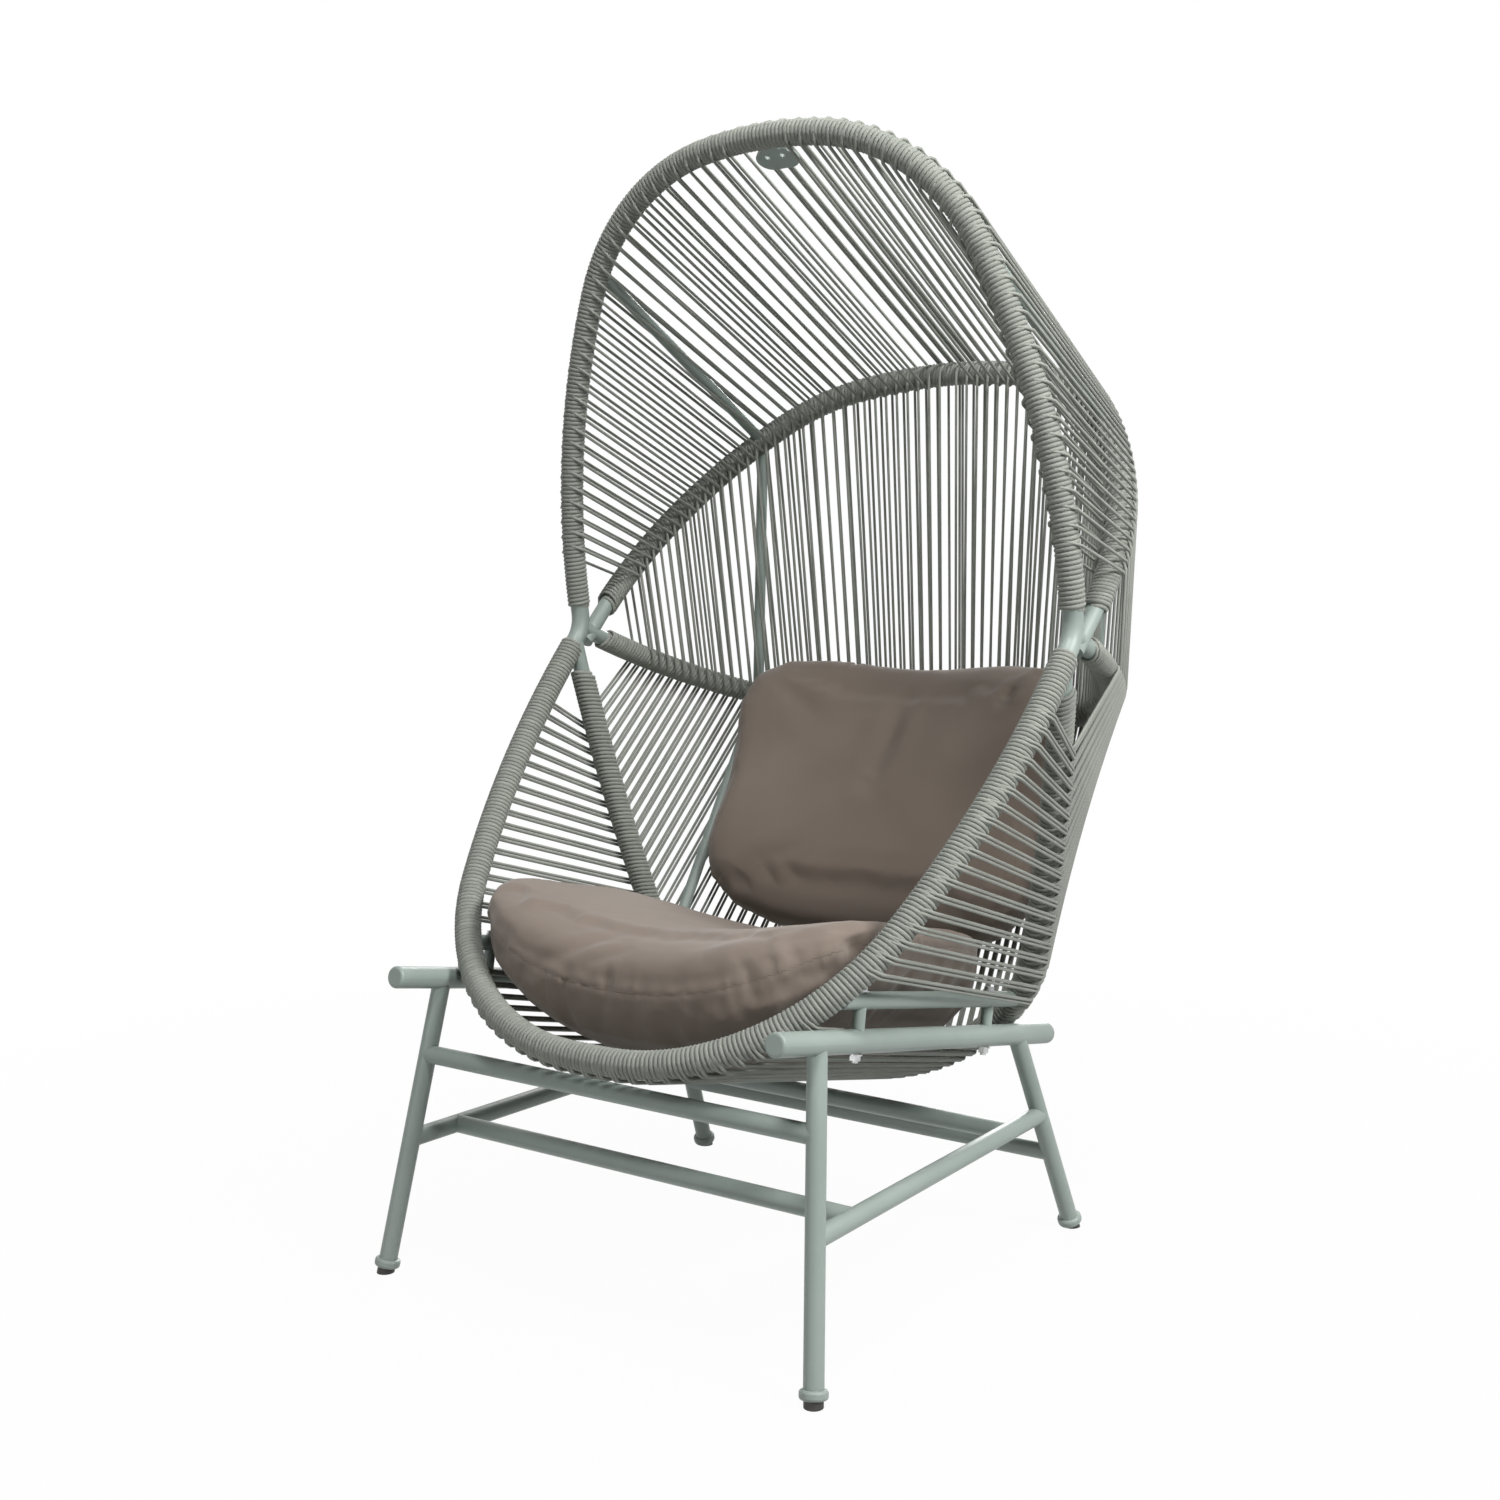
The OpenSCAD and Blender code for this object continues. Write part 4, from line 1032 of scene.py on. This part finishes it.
# For each cushion: its seam and the side that it faces, depth of the puckers, spare share of cloth,
# the swelling that meets the other cushion (middle, reach and move), and soft folds (pixels that
# they pass in the photograph, depth, half width)
CUSHIONS = {
    "seat_cushion": {
        "seam": (seat_seam, Vector((0, 0, 1))),
        "pucker": 0.0045,
        "spare": 0.04,
        "swell": ((0.02, 0.09, 0.46), (0.20, 0.10, 0.12), (0, 0.014, 0.020)),
        "folds": {
            "long one at the left": ([(538, 965), (575, 948), (614, 937)], 0.004, 0.010),
            "short one beside it": ([(583, 964), (605, 957), (628, 951)], 0.003, 0.008),
            "swell of the front edge": ([(700, 958), (770, 938), (835, 912)], -0.004, 0.020),
            "deep one at the right": ([(858, 960), (852, 935), (858, 906)], 0.010, 0.014),
            "across the front seam": ([(606, 1003), (608, 988), (606, 972)], 0.0025, 0.008),
            "front pucker": ([(752, 992), (747, 974), (738, 958)], 0.0012, 0.007),
            "second front pucker": ([(776, 980), (773, 964), (766, 950)], 0.0012, 0.007),
            "third front pucker": ([(797, 970), (794, 956), (788, 942)], 0.0018, 0.008),
        },
    },
    "back_cushion": {
        "seam": (back_seam, BACK_FACE),
        "pucker": 0.005,
        "spare": 0.025,
        "swell": ((0.0, 0.20, 0.40), (0.24, 0.12, 0.08), (0, -0.008, -0.016)),
        "folds": {
            "long one from the top": (
                [(926, 656), (908, 700), (888, 738), (866, 780)], 0.006, 0.016
            ),
            "top right corner": ([(1030, 664), (1015, 684), (1002, 700)], 0.006, 0.010),
            "top left corner": ([(775, 680), (800, 700), (820, 722)], 0.003, 0.018),
            "bottom left corner": ([(735, 880), (760, 862), (790, 850)], 0.003, 0.018),
        },
    },
}


# Spacing of the covers' first mesh, the passes that soften it, and how far it may leave the CAD cover
MESH_STEP = 0.007
SOFTENING = 16
COVER_ROOM = 0.003


def cushion(name, cloth):
    """One padded cushion: its cover blown up from the CAD filling, with seam, puckers and folds."""
    make = CUSHIONS[name]
    made = joined_copy(name + "_fill", name + "_padded")
    seam = Seam(*make["seam"])
    remesh = made.modifiers.new("even", "REMESH")
    remesh.mode = "VOXEL"
    remesh.voxel_size = MESH_STEP
    remesh.use_smooth_shade = True
    applied(made)
    stuffed(made, seam, make["spare"])
    finer = made.modifiers.new("finer", "SUBSURF")
    finer.levels = finer.render_levels = 1
    applied(made)
    kept_inside(made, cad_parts[name + "_cover"], COVER_ROOM)
    softer = made.modifiers.new("softer", "SMOOTH")
    softer.factor = 0.5
    softer.iterations = SOFTENING
    applied(made)
    swollen(made, *(Vector(part) for part in make["swell"]))
    made.data.update()
    puckered(made, seam, make["pucker"])
    made.data.update()
    for points, depth, width in make["folds"].values():
        creased(made, points, depth, width)
        made.data.update()
    seam_map(made, seam)
    made.data.materials.clear()
    made.data.materials.append(cloth)
    for polygon in made.data.polygons:
        polygon.use_smooth = True
    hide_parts(name + "_fill", name + "_cover")
    return made


# Scene

def camera():
    """The photograph's viewing place: right of the front, a little over half the chair's height."""
    data = bpy.data.cameras.new("camera")
    data.lens = round(FOCAL_PIXELS / PHOTO_PIXELS * SENSOR_MM, 2)
    data.sensor_width = SENSOR_MM
    data.dof.use_dof = False
    made = bpy.data.objects.new("camera", data)
    bpy.context.scene.collection.objects.link(made)
    turn = Matrix((CAMERA_RIGHT, CAMERA_UP, -CAMERA_AHEAD)).transposed().to_4x4()
    roll = Matrix.Rotation(CAMERA_ROLL, 4, "Z")
    made.matrix_world = Matrix.Translation(CAMERA_PLACE) @ turn @ roll
    bpy.context.scene.camera = made


# Place, target, width and power of each lamp
LAMPS = {
    "key": ((3.3, -0.2, 2.9), (0, 0, 0.7), 1.2, 155),
    "fill": ((-0.4, -3.0, 0.5), (0, -0.4, 0.4), 1.6, 14),
    "top": ((0.9, -1.0, 3.4), (0, -0.4, 0.5), 0.6, 58),
    "behind": ((-1.6, 3.4, 1.9), (0, 0.2, 0.7), 2.2, 120),
}
# Strength of the surroundings as light, which look white all the same
AMBIENT = 0.07
WHITE = (1, 1, 1, 1)
# The floor's radius, its own grey, and how it melts into white: distances and shares of white
FLOOR_R = 9.0
FLOOR_GREY = (0.42, 0.42, 0.42, 1)
FADE_FROM = 0.4
FADE_TO = 2.2
LEAST_WHITE = 0.97


def seen_directly(net):
    """1 where the camera looks, straight or by a reflection or through glass, and 0 for light."""
    path = net.node("ShaderNodeLightPath").outputs
    seen = net.sum("MAXIMUM", path["Is Camera Ray"], path["Is Glossy Ray"])
    return net.sum("MAXIMUM", seen, path["Is Transmission Ray"])


def lamp(name, place, target, size, power):
    """A round soft lamp that looks at its target."""
    data = bpy.data.lights.new(name, "AREA")
    data.shape = "DISK"
    data.size = size
    data.energy = power
    made = bpy.data.objects.new(name, data)
    bpy.context.scene.collection.objects.link(made)
    made.location = place
    made.rotation_mode = "QUATERNION"
    made.rotation_quaternion = (Vector(target) - Vector(place)).to_track_quat("-Z", "Y")


def studio():
    """White surroundings, a soft key from the right, a low fill, and lamps over the seat and behind."""
    world = bpy.data.worlds.new("studio")
    bpy.context.scene.world = world
    world.use_nodes = True
    world.node_tree.nodes.clear()
    net = Net(world.node_tree)
    lit = net.node("ShaderNodeBackground", {"Color": WHITE, "Strength": AMBIENT})
    white = net.node("ShaderNodeBackground", {"Color": WHITE, "Strength": 1.0})
    mix = net.node("ShaderNodeMixShader", {0: seen_directly(net), 1: lit, 2: white})
    net.node("ShaderNodeOutputWorld", {"Surface": mix})
    for name, (place, target, size, power) in LAMPS.items():
        lamp(name, place, target, size, power)


def pale_floor():
    """A pale floor that keeps the chair's shadow and melts into the white surroundings."""
    mesh = bpy.data.meshes.new("floor")
    work = bmesh.new()
    bmesh.ops.create_circle(work, cap_ends=True, segments=96, radius=FLOOR_R)
    work.to_mesh(mesh)
    work.free()
    floor = bpy.data.objects.new("floor", mesh)
    bpy.context.scene.collection.objects.link(floor)
    made, net, output = material("pale_floor")
    far = net.node("ShaderNodeVectorMath", {0: object_place(net)}, operation="LENGTH").outputs["Value"]
    blend = net.node(
        "ShaderNodeMapRange",
        {"Value": far, "From Min": FADE_FROM, "From Max": FADE_TO, "To Min": LEAST_WHITE, "To Max": 1.0},
    )
    lit = net.node("ShaderNodeBsdfDiffuse", {"Color": FLOOR_GREY})
    white = net.node("ShaderNodeEmission", {"Color": WHITE, "Strength": 1.0})
    share = net.sum("MULTIPLY", seen_directly(net), blend)
    mix = net.node("ShaderNodeMixShader", {0: share, 1: lit, 2: white})
    net.fill(output.inputs["Surface"], mix)
    mesh.materials.append(made)


def dress(names, finish):
    """Gives CAD nodes their finish."""
    for name in names:
        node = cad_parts[name]
        node.data.materials.clear()
        node.data.materials.append(finish)


def main():
    """Builds the studio, then dresses and replaces the CAD's nodes."""
    camera()
    studio()
    pale_floor()
    groups = {
        "grain": grain_group(),
        "dust": dust_group(),
        "rope": rope_group(),
    }
    paint = sage_paint(groups)
    rope = rope_fibre(groups)
    cloth = taupe_cloth()
    zinc = zinc_steel(groups)
    plastic = glide_plastic(groups)

    zinc_nodes = ["mounting_bolts", "mounting_washers", "mounting_nuts"]
    soft_nodes = [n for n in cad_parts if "cushion" in n]
    rope_nodes = list(WINDINGS) + list(PANELS)
    other = zinc_nodes + soft_nodes + rope_nodes + ["foot_glides"]
    dress(zinc_nodes, zinc)
    dress(["foot_glides"], plastic)
    dress([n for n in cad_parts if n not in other], paint)

    wound = winding_tree()
    taut = strand_tree()
    for piece in [winding(node, wound, rope) for node in WINDINGS] + [
        panel(node, taut, rope) for node in PANELS
    ]:
        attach(piece, BODY)

    for name in CUSHIONS:
        piece = cushion(name, cloth)
        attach(piece, name)

    bpy.context.scene.view_settings.view_transform = "Standard"


main()
